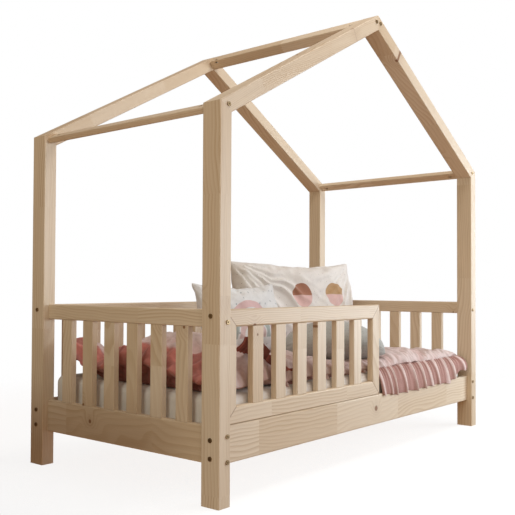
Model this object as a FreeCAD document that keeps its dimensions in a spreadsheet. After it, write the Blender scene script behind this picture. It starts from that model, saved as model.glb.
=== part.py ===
import FreeCAD, Part
import os
import re
from collections import namedtuple
import Sketcher

# House-shaped toddler bed of pine for a 70 x 140 cm mattress: four posts carry two gables, which a
# ridge beam and two eave rails join. Boards, guard rails and slats close the sides, and a slatted base
# carries the mattress and the bedding. Sizes are in millimetres. +Z is up, +X runs along the length to
# the open half of the front side, and -Y is the front. The origin is at the middle of the footprint, on
# the floor. Positions in the functions below count from the front left corner of the footprint.

SIZES = {
    "bed_length": 1510,
    "bed_width": 780,
    "post_height": 1000,
    "post_width": 42,
    "post_depth": 60,
    "roof_angle": 29,
    "timber_round": 2.5,
    "ridge_side": 36,
    "ridge_height": 1394,
    "eave_width": 38,
    "eave_thickness": 18,
    "eave_inset": 30,
    "eave_drop": 20,
    "board_thickness": 20,
    "board_width": 95,
    "board_bottom": 100,
    "side_inset": 19,
    "end_inset": 20,
    "board_round": 4,
    "guard_top": 485,
    "guard_rail": 45,
    "guard_length": 753,
    "slat_width": 44,
    "slat_thickness": 18,
    "slat_round": 1.5,
    "front_slat_pitch": 98,
    "end_slat_pitch": 96,
    "back_slat_pitch": 98,
    "bearer_height": 30,
    "bearer_thickness": 20,
    "bearer_top": 129,
    "bearer_length": 1400,
    "base_slat_width": 68,
    "base_slat_thickness": 15,
    "base_slat_length": 698,
    "base_slat_pitch": 108,
    "webbing_width": 25,
    "webbing_thickness": 1,
    "bolt_diameter": 6,
    "bolt_bore": 7,
    "bore_play": 0.4,
    "bolt_head": 12,
    "bolt_head_height": 2.5,
    "bolt_reach": 42,
    "socket_width": 4,
    "nut_diameter": 10,
    "nut_length": 14,
    "nut_setback": 32,
    "dowel_diameter": 8,
    "dowel_length": 30,
    "screw_diameter": 4,
    "screw_length": 34,
    "mattress_length": 1400,
    "mattress_width": 700,
    "mattress_height": 120,
    "mattress_round": 25,
    "layer_gap": 0.5,
    "duvet_length": 1350,
    "duvet_width": 690,
    "duvet_height": 24,
    "duvet_fold_length": 265,
    "duvet_fold_height": 130,
    "duvet_end": 80,
    "duvet_roll_width": 65,
    "duvet_roll_height": 34,
    "ruffle_length": 640,
    "ruffle_setback": 10,
    "ruffle_overhang": 2,
    "ruffle_lap": 35.5,
    "ruffle_depth": 42.5,
    "ruffle_drop": 8,
    "large_pillow_width": 600,
    "large_pillow_height": 340,
    "large_pillow_thickness": 115,
    "large_pillow_x": 1068,
    "large_pillow_y": 505,
    "small_pillow_width": 385,
    "small_pillow_height": 262,
    "small_pillow_thickness": 90,
    "small_pillow_x": 610,
    "small_pillow_y": 455,
    "cushion_length": 350,
    "cushion_depth": 200,
    "cushion_height": 140,
    "cushion_x": 800,
    "cushion_y": 214,
}

FRONT_SLATS = 6
END_SLATS = 6
BACK_SLATS = 14
BASE_SLATS = 13
BEARER_SCREWS = 6

# Places that several pieces share.
SIDE_MIDDLE = "side_inset + board_thickness / 2"
SIDE_MIDDLE_BACK = "bed_width - side_inset - board_thickness / 2"
END_MIDDLE = "end_inset + board_thickness / 2"
END_MIDDLE_RIGHT = "bed_length - end_inset - board_thickness / 2"
BOARD_TOP = "board_bottom + board_width"
GUARD_UNDERSIDE = "guard_top - guard_rail"
GUARD_OPENING_BASE = "board_bottom + board_width + guard_rail"
SCREW_HEIGHT = "bearer_top - bearer_height / 2"
EAVE_MIDDLE = "post_height + eave_inset * tan(roof_angle * 1 deg) - eave_drop / cos(roof_angle * 1 deg)"
MATTRESS_BASE = "bearer_top + base_slat_thickness + webbing_thickness + layer_gap"
DUVET_BASE = f"{MATTRESS_BASE} + mattress_height + layer_gap"
PILLOW_BASE = f"{DUVET_BASE} + duvet_height + layer_gap"

# Heights of the bolts above the floor. The two directions are offset so that they miss each other
# inside a post.
SIDE_BOLT_HEIGHTS = (120, 165)
END_BOLT_HEIGHTS = (110.5, 173.5)
SIDE_GUARD_BOLT_HEIGHT = 469
END_GUARD_BOLT_HEIGHT = 454
RIDGE_BOLT_SPREAD = 12

# Degrees. The pillows lean back from their lower edges, and headings turn about Z.
PILLOW_LEAN = 75
LARGE_PILLOW_HEADING = -17
CUSHION_HEADING = -56

X_AXIS = FreeCAD.Vector(1, 0, 0)
Y_AXIS = FreeCAD.Vector(0, 1, 0)
Z_AXIS = FreeCAD.Vector(0, 0, 1)
DIAGONAL = FreeCAD.Vector(1, 1, 1)

# A member is drawn with its length along X, its width along Y and its thickness along Z. These turn
# it: (length, width, thickness) point along the axes named.
FLAT = FreeCAD.Rotation()
UPRIGHT = FreeCAD.Rotation(DIAGONAL, 240)                # Z, X, Y
UPRIGHT_END = FreeCAD.Rotation(Y_AXIS, -90)              # Z, Y, -X
ALONG_SIDE = FreeCAD.Rotation(X_AXIS, 90)                # X, Z, -Y
ALONG_END = FreeCAD.Rotation(DIAGONAL, 120)              # Y, Z, X
ACROSS_FLAT = FreeCAD.Rotation(Z_AXIS, 90)               # Y, -X, Z
ALONG_RAIL = FreeCAD.Rotation(DIAGONAL, 120)             # Y, Z, X
HALF_TURN = FreeCAD.Rotation(Z_AXIS, 180)

os.makedirs("parts", exist_ok=True)
doc = FreeCAD.newDocument("ToddlerHouseBed")
sheet = doc.addObject("Spreadsheet::Sheet", "Dimensions")
for row, (alias, value) in enumerate(SIZES.items(), start=1):
    sheet.set(f"A{row}", alias)
    sheet.set(f"B{row}", str(value))
    sheet.setAlias(f"B{row}", alias)
doc.recompute()

nodes = []


def bound(expression):
    """The expression with each driving dimension read from the spreadsheet."""
    return re.sub(r"[a-z]+(?:_[a-z]+)+", lambda name: "Dimensions." + name.group(), str(expression))


def cosine(angle):
    return f"cos({angle} * 1 deg)"


def sine(angle):
    return f"sin({angle} * 1 deg)"


def tangent(angle):
    return f"tan({angle} * 1 deg)"


def place(item, x, y, z, turn=FLAT):
    """Puts an object at a point counted from the front left corner of the footprint."""
    item.Placement = FreeCAD.Placement(FreeCAD.Vector(), turn)
    item.setExpression("Placement.Base.x", bound(f"{x} - bed_length / 2"))
    item.setExpression("Placement.Base.y", bound(f"{y} - bed_width / 2"))
    item.setExpression("Placement.Base.z", bound(z))


def keep(item, label):
    """Names a finished piece, which gives it a node of its own."""
    item.Label = label
    nodes.append(item)
    return item


def draw_outline(body, corners):
    """A closed sketch through the corners, each bound to the spreadsheet."""
    sketch = body.newObject("Sketcher::SketchObject", "Outline")
    plane = next(item for item in body.Origin.OriginFeatures if item.Role == "XY_Plane")
    sketch.AttachmentSupport = (plane, [""])
    sketch.MapMode = "FlatFace"
    starts = [FreeCAD.Vector(float(index), float(index * index), 0) for index in range(len(corners))]
    for index, start in enumerate(starts):
        end = starts[(index + 1) % len(starts)]
        sketch.addGeometry(Part.LineSegment(start, end), False)
    for index in range(len(corners)):
        following = (index + 1) % len(corners)
        sketch.addConstraint(Sketcher.Constraint("Coincident", index, 2, following, 1))
    for index, (x, y) in enumerate(corners):
        for kind, axis, value in (("DistanceX", -2, x), ("DistanceY", -1, y)):
            if value == "0":
                sketch.addConstraint(Sketcher.Constraint("PointOnObject", index, 1, axis))
            else:
                size = sketch.addConstraint(Sketcher.Constraint(kind, -1, 1, index, 1, 1.0 + index))
                sketch.setExpression(f"Constraints[{size}]", bound(value))
    return sketch


def long_edges(shape):
    """The names of the straight edges that run along the member."""
    names = []
    for number, edge in enumerate(shape.Edges, start=1):
        if len(edge.Vertexes) == 2:
            run = edge.Vertexes[1].Point - edge.Vertexes[0].Point
            if abs(run.x) > 1 and abs(run.y) < 1e-6 and abs(run.z) < 1e-6:
                names.append(f"Edge{number}")
    return names


def member(label, corners, thickness, rounding, every_edge=False):
    """A body with the given outline, pushed up by its thickness and with its edges rounded."""
    body = doc.addObject("PartDesign::Body", label)
    pad = body.newObject("PartDesign::Pad", "Pad")
    pad.Profile = draw_outline(body, corners)
    pad.setExpression("Length", bound(thickness))
    doc.recompute()
    if rounding:
        fillet = body.newObject("PartDesign::Fillet", "Edges")
        names = [f"Edge{number + 1}" for number in range(len(pad.Shape.Edges))]
        fillet.Base = (pad, names if every_edge else long_edges(pad.Shape))
        fillet.setExpression("Radius", bound(rounding))
        body.Tip = fillet
    return body


def strip(label, length, width, thickness, rounding, every_edge=False):
    """A straight rectangular member."""
    corners = [("0", "0"), (length, "0"), (length, width), ("0", width)]
    return member(label, corners, thickness, rounding, every_edge)


def rod(label, diameter, length, x, y, z, turn=FLAT):
    """A round rod, along Z before it is turned."""
    cylinder = doc.addObject("Part::Cylinder", label)
    cylinder.setExpression("Radius", bound(f"{diameter} / 2"))
    cylinder.setExpression("Height", bound(length))
    place(cylinder, x, y, z, turn)
    return cylinder


def bored(label, blank, bores):
    """The blank with the bores cut from it."""
    blank.Label = f"{label}_blank"
    tool = doc.addObject("Part::Compound", f"{label}_bores")
    tool.Links = bores
    cut = doc.addObject("Part::Cut", label)
    cut.Base = blank
    cut.Tool = tool
    return cut


def drilled(label, blank, bores):
    """A finished piece with its bores, as a node."""
    return keep(bored(label, blank, bores), label)


def group(label, pieces):
    """Like pieces as separate solids in one node."""
    doc.recompute()
    item = doc.addObject("Part::Feature", label)
    item.Shape = Part.makeCompound([solid for piece in pieces for solid in piece.Shape.Solids])
    return keep(item, label)


# A bolt is described once: which way it points, where the underside of its head sits, how much timber it
# passes before it enters the piece that it pulls tight, and the axis that its barrel nut lies along.
Bolt = namedtuple("Bolt", "direction x y z passed nut_axis")

TOWARD = {
    "+x": FreeCAD.Rotation(Y_AXIS, 90),
    "-x": FreeCAD.Rotation(Y_AXIS, -90),
    "+y": FreeCAD.Rotation(X_AXIS, -90),
    "-y": FreeCAD.Rotation(X_AXIS, 90),
}


def along(direction, x, y, distance):
    """The point that lies the distance further in the direction."""
    sign = direction[0]
    if direction[1] == "x":
        return f"{x} {sign} ({distance})", y
    return x, f"{y} {sign} ({distance})"


def bolt_table():
    """The bolts through the posts into the boards and the guard rails."""
    bolts = []
    for x, inward in (("0", "+x"), ("bed_length", "-x")):
        for y in (SIDE_MIDDLE, SIDE_MIDDLE_BACK):
            heights = list(SIDE_BOLT_HEIGHTS)
            open_corner = inward == "-x" and y == SIDE_MIDDLE
            if not open_corner:
                heights.append(SIDE_GUARD_BOLT_HEIGHT)
            for z in heights:
                bolts.append(Bolt(inward, x, y, z, "post_width", "y"))
    for y, inward in (("0", "+y"), ("bed_width", "-y")):
        for x in (END_MIDDLE, END_MIDDLE_RIGHT):
            for z in (*END_BOLT_HEIGHTS, END_GUARD_BOLT_HEIGHT):
                bolts.append(Bolt(inward, x, y, z, "post_depth", "x"))
    return bolts


def roof_bolt_table():
    """The bolts through the rafters into the ridge beam and the eave rails."""
    bolts = []
    for y, inward in (("0", "+y"), ("bed_width", "-y")):
        for x in ("eave_inset", "bed_length - eave_inset"):
            bolts.append(Bolt(inward, x, y, EAVE_MIDDLE, "post_depth", "x"))
        for spread in (-RIDGE_BOLT_SPREAD, RIDGE_BOLT_SPREAD):
            ridge_x = f"bed_length / 2 + {spread}"
            bolts.append(Bolt(inward, ridge_x, y, "ridge_height", "post_depth", "z"))
    return bolts


def make_bolt(index, bolt):
    """A bolt with a low round head and a hexagon socket."""
    turn = TOWARD[bolt.direction]
    head_x, head_y = along(bolt.direction, bolt.x, bolt.y, "-bolt_head_height")
    head = rod(f"BoltHead{index}", "bolt_head", "bolt_head_height", head_x, head_y, bolt.z, turn)
    shank = bolt_line(f"BoltShank{index}", bolt, "bolt_diameter", "bolt_reach")
    whole = doc.addObject("Part::Fuse", f"BoltBody{index}")
    whole.Base = head
    whole.Tool = shank
    socket = doc.addObject("Part::Prism", f"BoltSocket{index}")
    socket.Polygon = 6
    socket.setExpression("Circumradius", bound("socket_width / 2"))
    socket.setExpression("Height", bound("bolt_head_height"))
    place(socket, head_x, head_y, bolt.z, turn)
    cut = doc.addObject("Part::Cut", f"Bolt{index}")
    cut.Base = whole
    cut.Tool = socket
    return cut


def bolt_line(label, bolt, diameter, reach):
    """A rod on a bolt's axis, from under its head to the given reach past the timber it passes."""
    length = f"{bolt.passed} + {reach}"
    return rod(label, diameter, length, bolt.x, bolt.y, bolt.z, TOWARD[bolt.direction])


def nut_line(label, bolt, diameter, length):
    """A rod on the axis of a bolt's barrel nut, centred on the bolt."""
    x, y = along(bolt.direction, bolt.x, bolt.y, f"{bolt.passed} + nut_setback")
    if bolt.nut_axis == "x":
        return rod(label, diameter, length, f"{x} - ({length}) / 2", y, bolt.z, TOWARD["+x"])
    if bolt.nut_axis == "y":
        return rod(label, diameter, length, x, f"{y} - ({length}) / 2", bolt.z, TOWARD["+y"])
    return rod(label, diameter, length, x, y, f"{bolt.z} - ({length}) / 2")


def make_nut(index, bolt):
    """A barrel nut, drilled through for its bolt."""
    nut = doc.addObject("Part::Cut", f"Nut{index}")
    nut.Base = nut_line(f"NutBlank{index}", bolt, "nut_diameter", "nut_length")
    nut.Tool = bolt_line(f"NutThread{index}", bolt, "bolt_diameter", "bolt_reach")
    return nut


def bores_for(label, chosen):
    """The bores of the chosen bolts and of their barrel nuts, for one piece."""
    bores = through_bores(label, chosen)
    for index, bolt in enumerate(chosen):
        size = ("nut_diameter + bore_play / 2", "nut_length + bore_play")
        bores.append(nut_line(f"NutBore{label}{index}", bolt, *size))
    return bores


def through_bores(label, chosen):
    """The straight bores of the chosen bolts, for one piece."""
    return [
        bolt_line(f"BoltBore{label}{index}", bolt, "bolt_bore", "bolt_reach + bore_play")
        for index, bolt in enumerate(chosen)
    ]


def dowel_bores(label, chosen):
    """Bores for the wooden dowels that enter one piece."""
    return [
        rod(f"DowelBore{label}{index}", "dowel_diameter", "dowel_length", x, y, f"{z} - dowel_length / 2")
        for index, (x, y, z) in enumerate(chosen)
    ]


def screw_bores(label, middle):
    """The bearer screws that enter the side rail with the given middle, as rods."""
    head = {
        SIDE_MIDDLE: ("side_inset + board_thickness + bearer_thickness", "-y"),
        SIDE_MIDDLE_BACK: ("bed_width - side_inset - board_thickness - bearer_thickness", "+y"),
    }
    y, direction = head[middle]
    size = ("screw_diameter", "screw_length")
    screws = []
    for index, offset in enumerate(middle_offsets(BEARER_SCREWS, f"bearer_length / {BEARER_SCREWS}")):
        x = f"bed_length / 2 + {offset}"
        screws.append(rod(f"Screw{label}{index}", *size, x, y, SCREW_HEIGHT, TOWARD[direction]))
    return screws


def middle_offsets(count, pitch):
    """The offsets of evenly spaced pieces from the middle of their row."""
    return [f"({index - (count - 1) / 2}) * {pitch}" for index in range(count)]


def is_left(bolt):
    return not bolt.x.startswith("bed_length")


def is_front(bolt):
    return not bolt.y.startswith("bed_width")


def is_board_bolt(bolt):
    """Whether a bolt of the posts holds a board, and not a guard rail."""
    return bolt.z in SIDE_BOLT_HEIGHTS + END_BOLT_HEIGHTS


BOLTS = bolt_table()
ROOF_BOLTS = roof_bolt_table()


def make_posts():
    """Four posts, each cut at its top to meet its rafter in a mitre."""
    inner_height = f"post_height + post_width * {tangent('roof_angle')} - post_width / {cosine('roof_angle')}"
    corners = [("0", "0"), ("post_height", "0"), (inner_height, "post_width"), ("0", "post_width")]
    placed = {
        "post_front_left": ("0", "0", UPRIGHT),
        "post_back_left": ("0", "bed_width - post_depth", UPRIGHT),
        "post_front_right": ("bed_length", "post_depth", HALF_TURN * UPRIGHT),
        "post_back_right": ("bed_length", "bed_width", HALF_TURN * UPRIGHT),
    }
    for label, (x, y, turn) in placed.items():
        blank = member(label, corners, "post_depth", "timber_round")
        place(blank, x, y, "0", turn)
        left = label.endswith("left")
        front = "front" in label
        chosen = [bolt for bolt in BOLTS if is_left(bolt) == left and is_front(bolt) == front]
        drilled(label, blank, through_bores(label, chosen))


def make_rafters():
    """Four rafters: each gable has two, mitred at the apex and on the posts."""
    angle = "roof_angle"
    foot = f"(post_width - post_width * {sine(angle)}) / {cosine(angle)}"
    run = f"bed_length / 2 / {cosine(angle)}"
    inner_run = f"{run} - post_width * {tangent(angle)}"
    corners = [("0", "0"), (foot, "-post_width"), (inner_run, "-post_width"), (run, "0")]
    rise = FreeCAD.Rotation(Y_AXIS, -SIZES["roof_angle"]) * ALONG_SIDE
    placed = {
        "rafter_front_left": ("0", "post_depth", rise),
        "rafter_back_left": ("0", "bed_width", rise),
        "rafter_front_right": ("bed_length", "0", HALF_TURN * rise),
        "rafter_back_right": ("bed_length", "bed_width - post_depth", HALF_TURN * rise),
    }
    for label, (x, y, turn) in placed.items():
        blank = member(label, corners, "post_depth", "timber_round")
        place(blank, x, y, "post_height", turn)
        left = label.endswith("left")
        eave_x = "eave_inset" if left else "bed_length - eave_inset"
        ridge_x = f"bed_length / 2 + {-RIDGE_BOLT_SPREAD if left else RIDGE_BOLT_SPREAD}"
        front = "front" in label
        chosen = [bolt for bolt in ROOF_BOLTS if bolt.x in (eave_x, ridge_x) and is_front(bolt) == front]
        drilled(label, blank, through_bores(label, chosen))


def make_ridge_and_eaves():
    """The beam at the apex stands on its corner; the eave rails lie in the slope of the roof."""
    span = "bed_width - 2 * post_depth"
    beam = strip("ridge_beam", span, "ridge_side", "ridge_side", "board_round")
    on_corner = FreeCAD.Rotation(Y_AXIS, 45) * ALONG_END
    place(beam, "bed_length / 2 - ridge_side * sqrt(2) / 2", "post_depth", "ridge_height", on_corner)
    drilled("ridge_beam", beam, bores_for("ridge", [bolt for bolt in ROOF_BOLTS if bolt.z == "ridge_height"]))
    angle = "roof_angle"
    lean = FreeCAD.Rotation(Y_AXIS, 90 - SIZES["roof_angle"]) * ALONG_END
    outward = f"(eave_width * {cosine(angle)} + eave_thickness * {sine(angle)}) / 2"
    lift = f"(eave_thickness * {cosine(angle)} - eave_width * {sine(angle)}) / 2"
    right_x = f"bed_length - eave_inset + {outward}"
    placed = {
        "eave_rail_left": (f"eave_inset - {outward}", "post_depth", lean, "eave_inset"),
        "eave_rail_right": (right_x, "bed_width - post_depth", HALF_TURN * lean, "bed_length - eave_inset"),
    }
    for label, (x, y, turn, bolt_x) in placed.items():
        rail = strip(label, span, "eave_width", "eave_thickness", "board_round")
        place(rail, x, y, f"{EAVE_MIDDLE} + {lift}", turn)
        drilled(label, rail, bores_for(label, [bolt for bolt in ROOF_BOLTS if bolt.x == bolt_x]))


def front_slat_places():
    middle = "post_width + guard_length / 2"
    return [f"{middle} + {offset}" for offset in middle_offsets(FRONT_SLATS, "front_slat_pitch")]


def back_slat_places():
    return [f"bed_length / 2 + {offset}" for offset in middle_offsets(BACK_SLATS, "back_slat_pitch")]


def end_slat_places():
    return [f"bed_width / 2 + {offset}" for offset in middle_offsets(END_SLATS, "end_slat_pitch")]


def dowel_table():
    """The dowels of the slats and of the front guard, as (x, y, z) of their middles."""
    dowels = []
    for x in front_slat_places():
        dowels.append((x, SIDE_MIDDLE, GUARD_UNDERSIDE))
        dowels.append((x, SIDE_MIDDLE, GUARD_OPENING_BASE))
    for x in ("post_width + guard_length * 0.2", "post_width + guard_length * 0.8"):
        dowels.append((x, SIDE_MIDDLE, BOARD_TOP))
    for x in back_slat_places():
        dowels.append((x, SIDE_MIDDLE_BACK, GUARD_UNDERSIDE))
        dowels.append((x, SIDE_MIDDLE_BACK, BOARD_TOP))
    for x in (END_MIDDLE, END_MIDDLE_RIGHT):
        for y in end_slat_places():
            dowels.append((x, y, GUARD_UNDERSIDE))
            dowels.append((x, y, BOARD_TOP))
    return dowels


DOWELS = dowel_table()


def make_boards():
    """The boards at the sides and ends, and the upper rails of the back and of the two ends."""
    side_length = "bed_length - 2 * post_width"
    board = ("board_bottom", "board_width")
    rail = ("guard_top - guard_rail", "guard_rail")
    side_rows = {
        "side_rail_front": ("side_inset + board_thickness", board, SIDE_MIDDLE),
        "side_rail_back": ("bed_width - side_inset", board, SIDE_MIDDLE_BACK),
        "guard_rail_back": ("bed_width - side_inset", rail, SIDE_MIDDLE_BACK),
    }
    for label, (y, (z, width), middle) in side_rows.items():
        blank = strip(label, side_length, width, "board_thickness", "board_round")
        place(blank, "post_width", y, z, ALONG_SIDE)
        holds_board = width == "board_width"
        bolts = [bolt for bolt in BOLTS if bolt.y == middle and is_board_bolt(bolt) == holds_board]
        level = BOARD_TOP if holds_board else GUARD_UNDERSIDE
        pins = [dowel for dowel in DOWELS if dowel[1] == middle and dowel[2] == level]
        bores = bores_for(label, bolts) + dowel_bores(label, pins)
        if holds_board:
            bores += screw_bores(label, middle)
        drilled(label, blank, bores)
    end_length = "bed_width - 2 * post_depth"
    right_face = "bed_length - end_inset - board_thickness"
    end_rows = {
        "end_board_left": ("end_inset", board, END_MIDDLE),
        "end_board_right": (right_face, board, END_MIDDLE_RIGHT),
        "guard_rail_left": ("end_inset", rail, END_MIDDLE),
        "guard_rail_right": (right_face, rail, END_MIDDLE_RIGHT),
    }
    for label, (x, (z, width), middle) in end_rows.items():
        blank = strip(label, end_length, width, "board_thickness", "board_round")
        place(blank, x, "post_depth", z, ALONG_END)
        holds_board = width == "board_width"
        bolts = [bolt for bolt in BOLTS if bolt.x == middle and is_board_bolt(bolt) == holds_board]
        level = BOARD_TOP if holds_board else GUARD_UNDERSIDE
        pins = [dowel for dowel in DOWELS if dowel[0] == middle and dowel[2] == level]
        drilled(label, blank, bores_for(label, bolts) + dowel_bores(label, pins))


def mitred(length):
    """The outline of a piece of the front guard's frame, mitred at both ends."""
    return [("0", "0"), (length, "0"), (f"{length} - guard_rail", "guard_rail"), ("guard_rail", "guard_rail")]


def make_front_guard():
    """The short guard on the front: a mitred frame that stands on the side rail."""
    guard_height = "(guard_top - board_bottom - board_width)"
    back_face = "side_inset + board_thickness"
    end = "post_width + guard_length"
    upside_down = FreeCAD.Rotation(Y_AXIS, 180) * ALONG_SIDE
    bolts = [bolt for bolt in BOLTS if bolt.z == SIDE_GUARD_BOLT_HEIGHT and bolt.y == SIDE_MIDDLE]
    front_dowels = [dowel for dowel in DOWELS if dowel[1] == SIDE_MIDDLE]
    top_pins = [dowel for dowel in front_dowels if dowel[2] == GUARD_UNDERSIDE]
    bottom_pins = [dowel for dowel in front_dowels if dowel[2] != GUARD_UNDERSIDE]
    frame = {
        "guard_front_bottom_rail": ("guard_length", "post_width", back_face, BOARD_TOP, ALONG_SIDE),
        "guard_front_top_rail": ("guard_length", end, back_face, "guard_top", upside_down),
        "guard_front_left_stile": (guard_height, "post_width", "side_inset", BOARD_TOP, UPRIGHT),
        "guard_front_right_stile": (guard_height, end, back_face, BOARD_TOP, HALF_TURN * UPRIGHT),
    }
    bores = {
        "guard_front_bottom_rail": dowel_bores("guardbase", bottom_pins),
        "guard_front_top_rail": bores_for("guardtop", bolts) + dowel_bores("guardtop", top_pins),
        "guard_front_left_stile": bores_for("guardstile", bolts),
    }
    for label, (length, x, y, z, turn) in frame.items():
        blank = member(label, mitred(length), "board_thickness", "board_round")
        place(blank, x, y, z, turn)
        if label in bores:
            drilled(label, blank, bores[label])
        else:
            keep(blank, label)


def slat_piece(label, length, x, y, z, turn, pins):
    """One upright slat, bored at its ends for its dowels."""
    blank = strip(label, length, "slat_width", "slat_thickness", "slat_round")
    place(blank, x, y, z, turn)
    return bored(label, blank, dowel_bores(label, pins))


def make_slats():
    """The upright slats of the guards. Those of the long back share one node."""
    front_length = "guard_top - board_bottom - board_width - 2 * guard_rail"
    tall_length = "guard_top - board_bottom - board_width - guard_rail"
    front_face = f"{SIDE_MIDDLE} - slat_thickness / 2"
    back_face = f"{SIDE_MIDDLE_BACK} - slat_thickness / 2"
    for index, x in enumerate(front_slat_places(), start=1):
        label = f"guard_front_slat_{index}"
        pins = [dowel for dowel in DOWELS if dowel[:2] == (x, SIDE_MIDDLE)]
        left = f"{x} - slat_width / 2"
        keep(slat_piece(label, front_length, left, front_face, GUARD_OPENING_BASE, UPRIGHT, pins), label)
    for side, middle in (("left", END_MIDDLE), ("right", END_MIDDLE_RIGHT)):
        for index, y in enumerate(end_slat_places(), start=1):
            label = f"guard_{side}_slat_{index}"
            pins = [dowel for dowel in DOWELS if dowel[:2] == (middle, y)]
            face = f"{middle} + slat_thickness / 2"
            near = f"{y} - slat_width / 2"
            keep(slat_piece(label, tall_length, face, near, BOARD_TOP, UPRIGHT_END, pins), label)
    back = []
    for index, x in enumerate(back_slat_places(), start=1):
        pins = [dowel for dowel in DOWELS if dowel[:2] == (x, SIDE_MIDDLE_BACK)]
        left = f"{x} - slat_width / 2"
        back.append(slat_piece(f"BackSlat{index}", tall_length, left, back_face, BOARD_TOP, UPRIGHT, pins))
    group("guard_back_slats", back)


def make_base():
    """Two bearers screwed to the side rails, the slats that lie on them and the webbing between."""
    rows = {
        "bearer_front": ("side_inset + board_thickness + bearer_thickness", SIDE_MIDDLE),
        "bearer_back": ("bed_width - side_inset - board_thickness", SIDE_MIDDLE_BACK),
    }
    for label, (y, middle) in rows.items():
        blank = strip(label, "bearer_length", "bearer_height", "bearer_thickness", "slat_round")
        place(blank, "(bed_length - bearer_length) / 2", y, "bearer_top - bearer_height", ALONG_SIDE)
        drilled(label, blank, screw_bores(label, middle))
    slats = []
    for index, offset in enumerate(middle_offsets(BASE_SLATS, "base_slat_pitch"), start=1):
        size = ("base_slat_length", "base_slat_width", "base_slat_thickness", "slat_round")
        slat = strip(f"BaseSlat{index}", *size)
        x = f"bed_length / 2 + {offset} + base_slat_width / 2"
        place(slat, x, "(bed_width - base_slat_length) / 2", "bearer_top", ACROSS_FLAT)
        slats.append(slat)
    group("base_slats", slats)
    length = f"({BASE_SLATS - 1} * base_slat_pitch + base_slat_width)"
    for label, y in (("webbing_front", "bed_width * 0.22"), ("webbing_back", "bed_width * 0.78")):
        tape = strip(label, length, "webbing_width", "webbing_thickness", "")
        x = f"bed_length / 2 - {length} / 2"
        place(tape, x, f"{y} - webbing_width / 2", "bearer_top + base_slat_thickness")
        keep(tape, label)


def make_fasteners():
    """Bolts, barrel nuts, wooden dowels and screws, each kind in one node."""
    group("frame_bolts", [make_bolt(f"Frame{index}", bolt) for index, bolt in enumerate(BOLTS)])
    group("roof_bolts", [make_bolt(f"Roof{index}", bolt) for index, bolt in enumerate(ROOF_BOLTS)])
    group("barrel_nuts", [make_nut(index, bolt) for index, bolt in enumerate(BOLTS + ROOF_BOLTS)])
    group("dowels", dowel_bores("Pin", DOWELS))
    group("bearer_screws", screw_bores("front", SIDE_MIDDLE) + screw_bores("back", SIDE_MIDDLE_BACK))


def make_mattress():
    size = ("mattress_length", "mattress_width", "mattress_height", "mattress_round")
    mattress = strip("mattress", *size, every_edge=True)
    place(mattress, "(bed_length - mattress_length) / 2", "(bed_width - mattress_width) / 2", MATTRESS_BASE)
    keep(mattress, "mattress")


def make_duvet():
    """A duvet with one end folded up and a rolled front edge, and its ruffle over the side rail."""
    fold_side = "duvet_fold_height * 0.6"
    corners = [
        ("0", "0"),
        ("duvet_length", "0"),
        ("duvet_length", "duvet_height"),
        ("duvet_fold_length * 1.23", "duvet_height"),
        ("duvet_fold_length", fold_side),
        ("duvet_fold_length * 0.7", "duvet_fold_height"),
        ("duvet_fold_length * 0.2", "duvet_fold_height"),
        ("0", fold_side),
    ]
    left = "bed_length - duvet_length - duvet_end"
    back = "(bed_width + duvet_width) / 2"
    front = "(bed_width - duvet_width) / 2"
    spread = member("duvet_spread", corners, "duvet_width", "")
    place(spread, left, back, DUVET_BASE, ALONG_SIDE)
    roll_corners = [
        ("duvet_fold_length * 0.7", "0"),
        ("duvet_length", "0"),
        ("duvet_length", "duvet_height"),
        ("duvet_length - duvet_roll_width", "duvet_roll_height"),
        ("duvet_fold_length * 2.5", "duvet_roll_height"),
        ("duvet_fold_length * 1.4", "duvet_fold_height * 0.62"),
        ("duvet_fold_length * 0.7", "duvet_fold_height"),
    ]
    roll = member("duvet_roll", roll_corners, "duvet_roll_width", "")
    place(roll, left, f"{front} + duvet_roll_width", DUVET_BASE, ALONG_SIDE)
    duvet = doc.addObject("Part::Fuse", "duvet")
    duvet.Base = spread
    duvet.Tool = roll
    keep(duvet, "duvet")
    on_mattress = f"{DUVET_BASE} - ({BOARD_TOP}) - layer_gap"
    under_pillows = f"{PILLOW_BASE} - ({BOARD_TOP}) - layer_gap"
    profile = [
        ("0", "0"),
        ("ruffle_lap", "0"),
        ("ruffle_lap", on_mattress),
        ("ruffle_depth", f"{on_mattress} + ruffle_drop"),
        ("ruffle_depth", f"{under_pillows} - ruffle_drop / 2"),
        ("ruffle_depth * 0.4", f"{under_pillows} - ruffle_drop * 1.5"),
        ("0", "ruffle_drop * 4.5"),
    ]
    ruffle = member("duvet_ruffle", profile, "ruffle_length", "")
    ruffle_x = "post_width + guard_length + ruffle_setback"
    place(ruffle, ruffle_x, "ruffle_overhang", f"{BOARD_TOP} + layer_gap * 2", ALONG_RAIL)
    keep(ruffle, "duvet_ruffle")


def leaning_pillow(label, x, y, heading):
    """A stuffed block that stands on its lower edge and leans back."""
    size = (f"{label}_width", f"{label}_height", f"{label}_thickness")
    pillow = strip(label, *size, f"{label}_thickness * 0.43", every_edge=True)
    turn = FreeCAD.Rotation(Z_AXIS, heading) * FreeCAD.Rotation(X_AXIS, PILLOW_LEAN)
    start_x = f"{x} - {label}_width / 2 * {cosine(heading)}"
    start_y = f"{y} - {label}_width / 2 * {sine(heading)}"
    place(pillow, start_x, start_y, PILLOW_BASE, turn)
    return keep(pillow, label)


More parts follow.
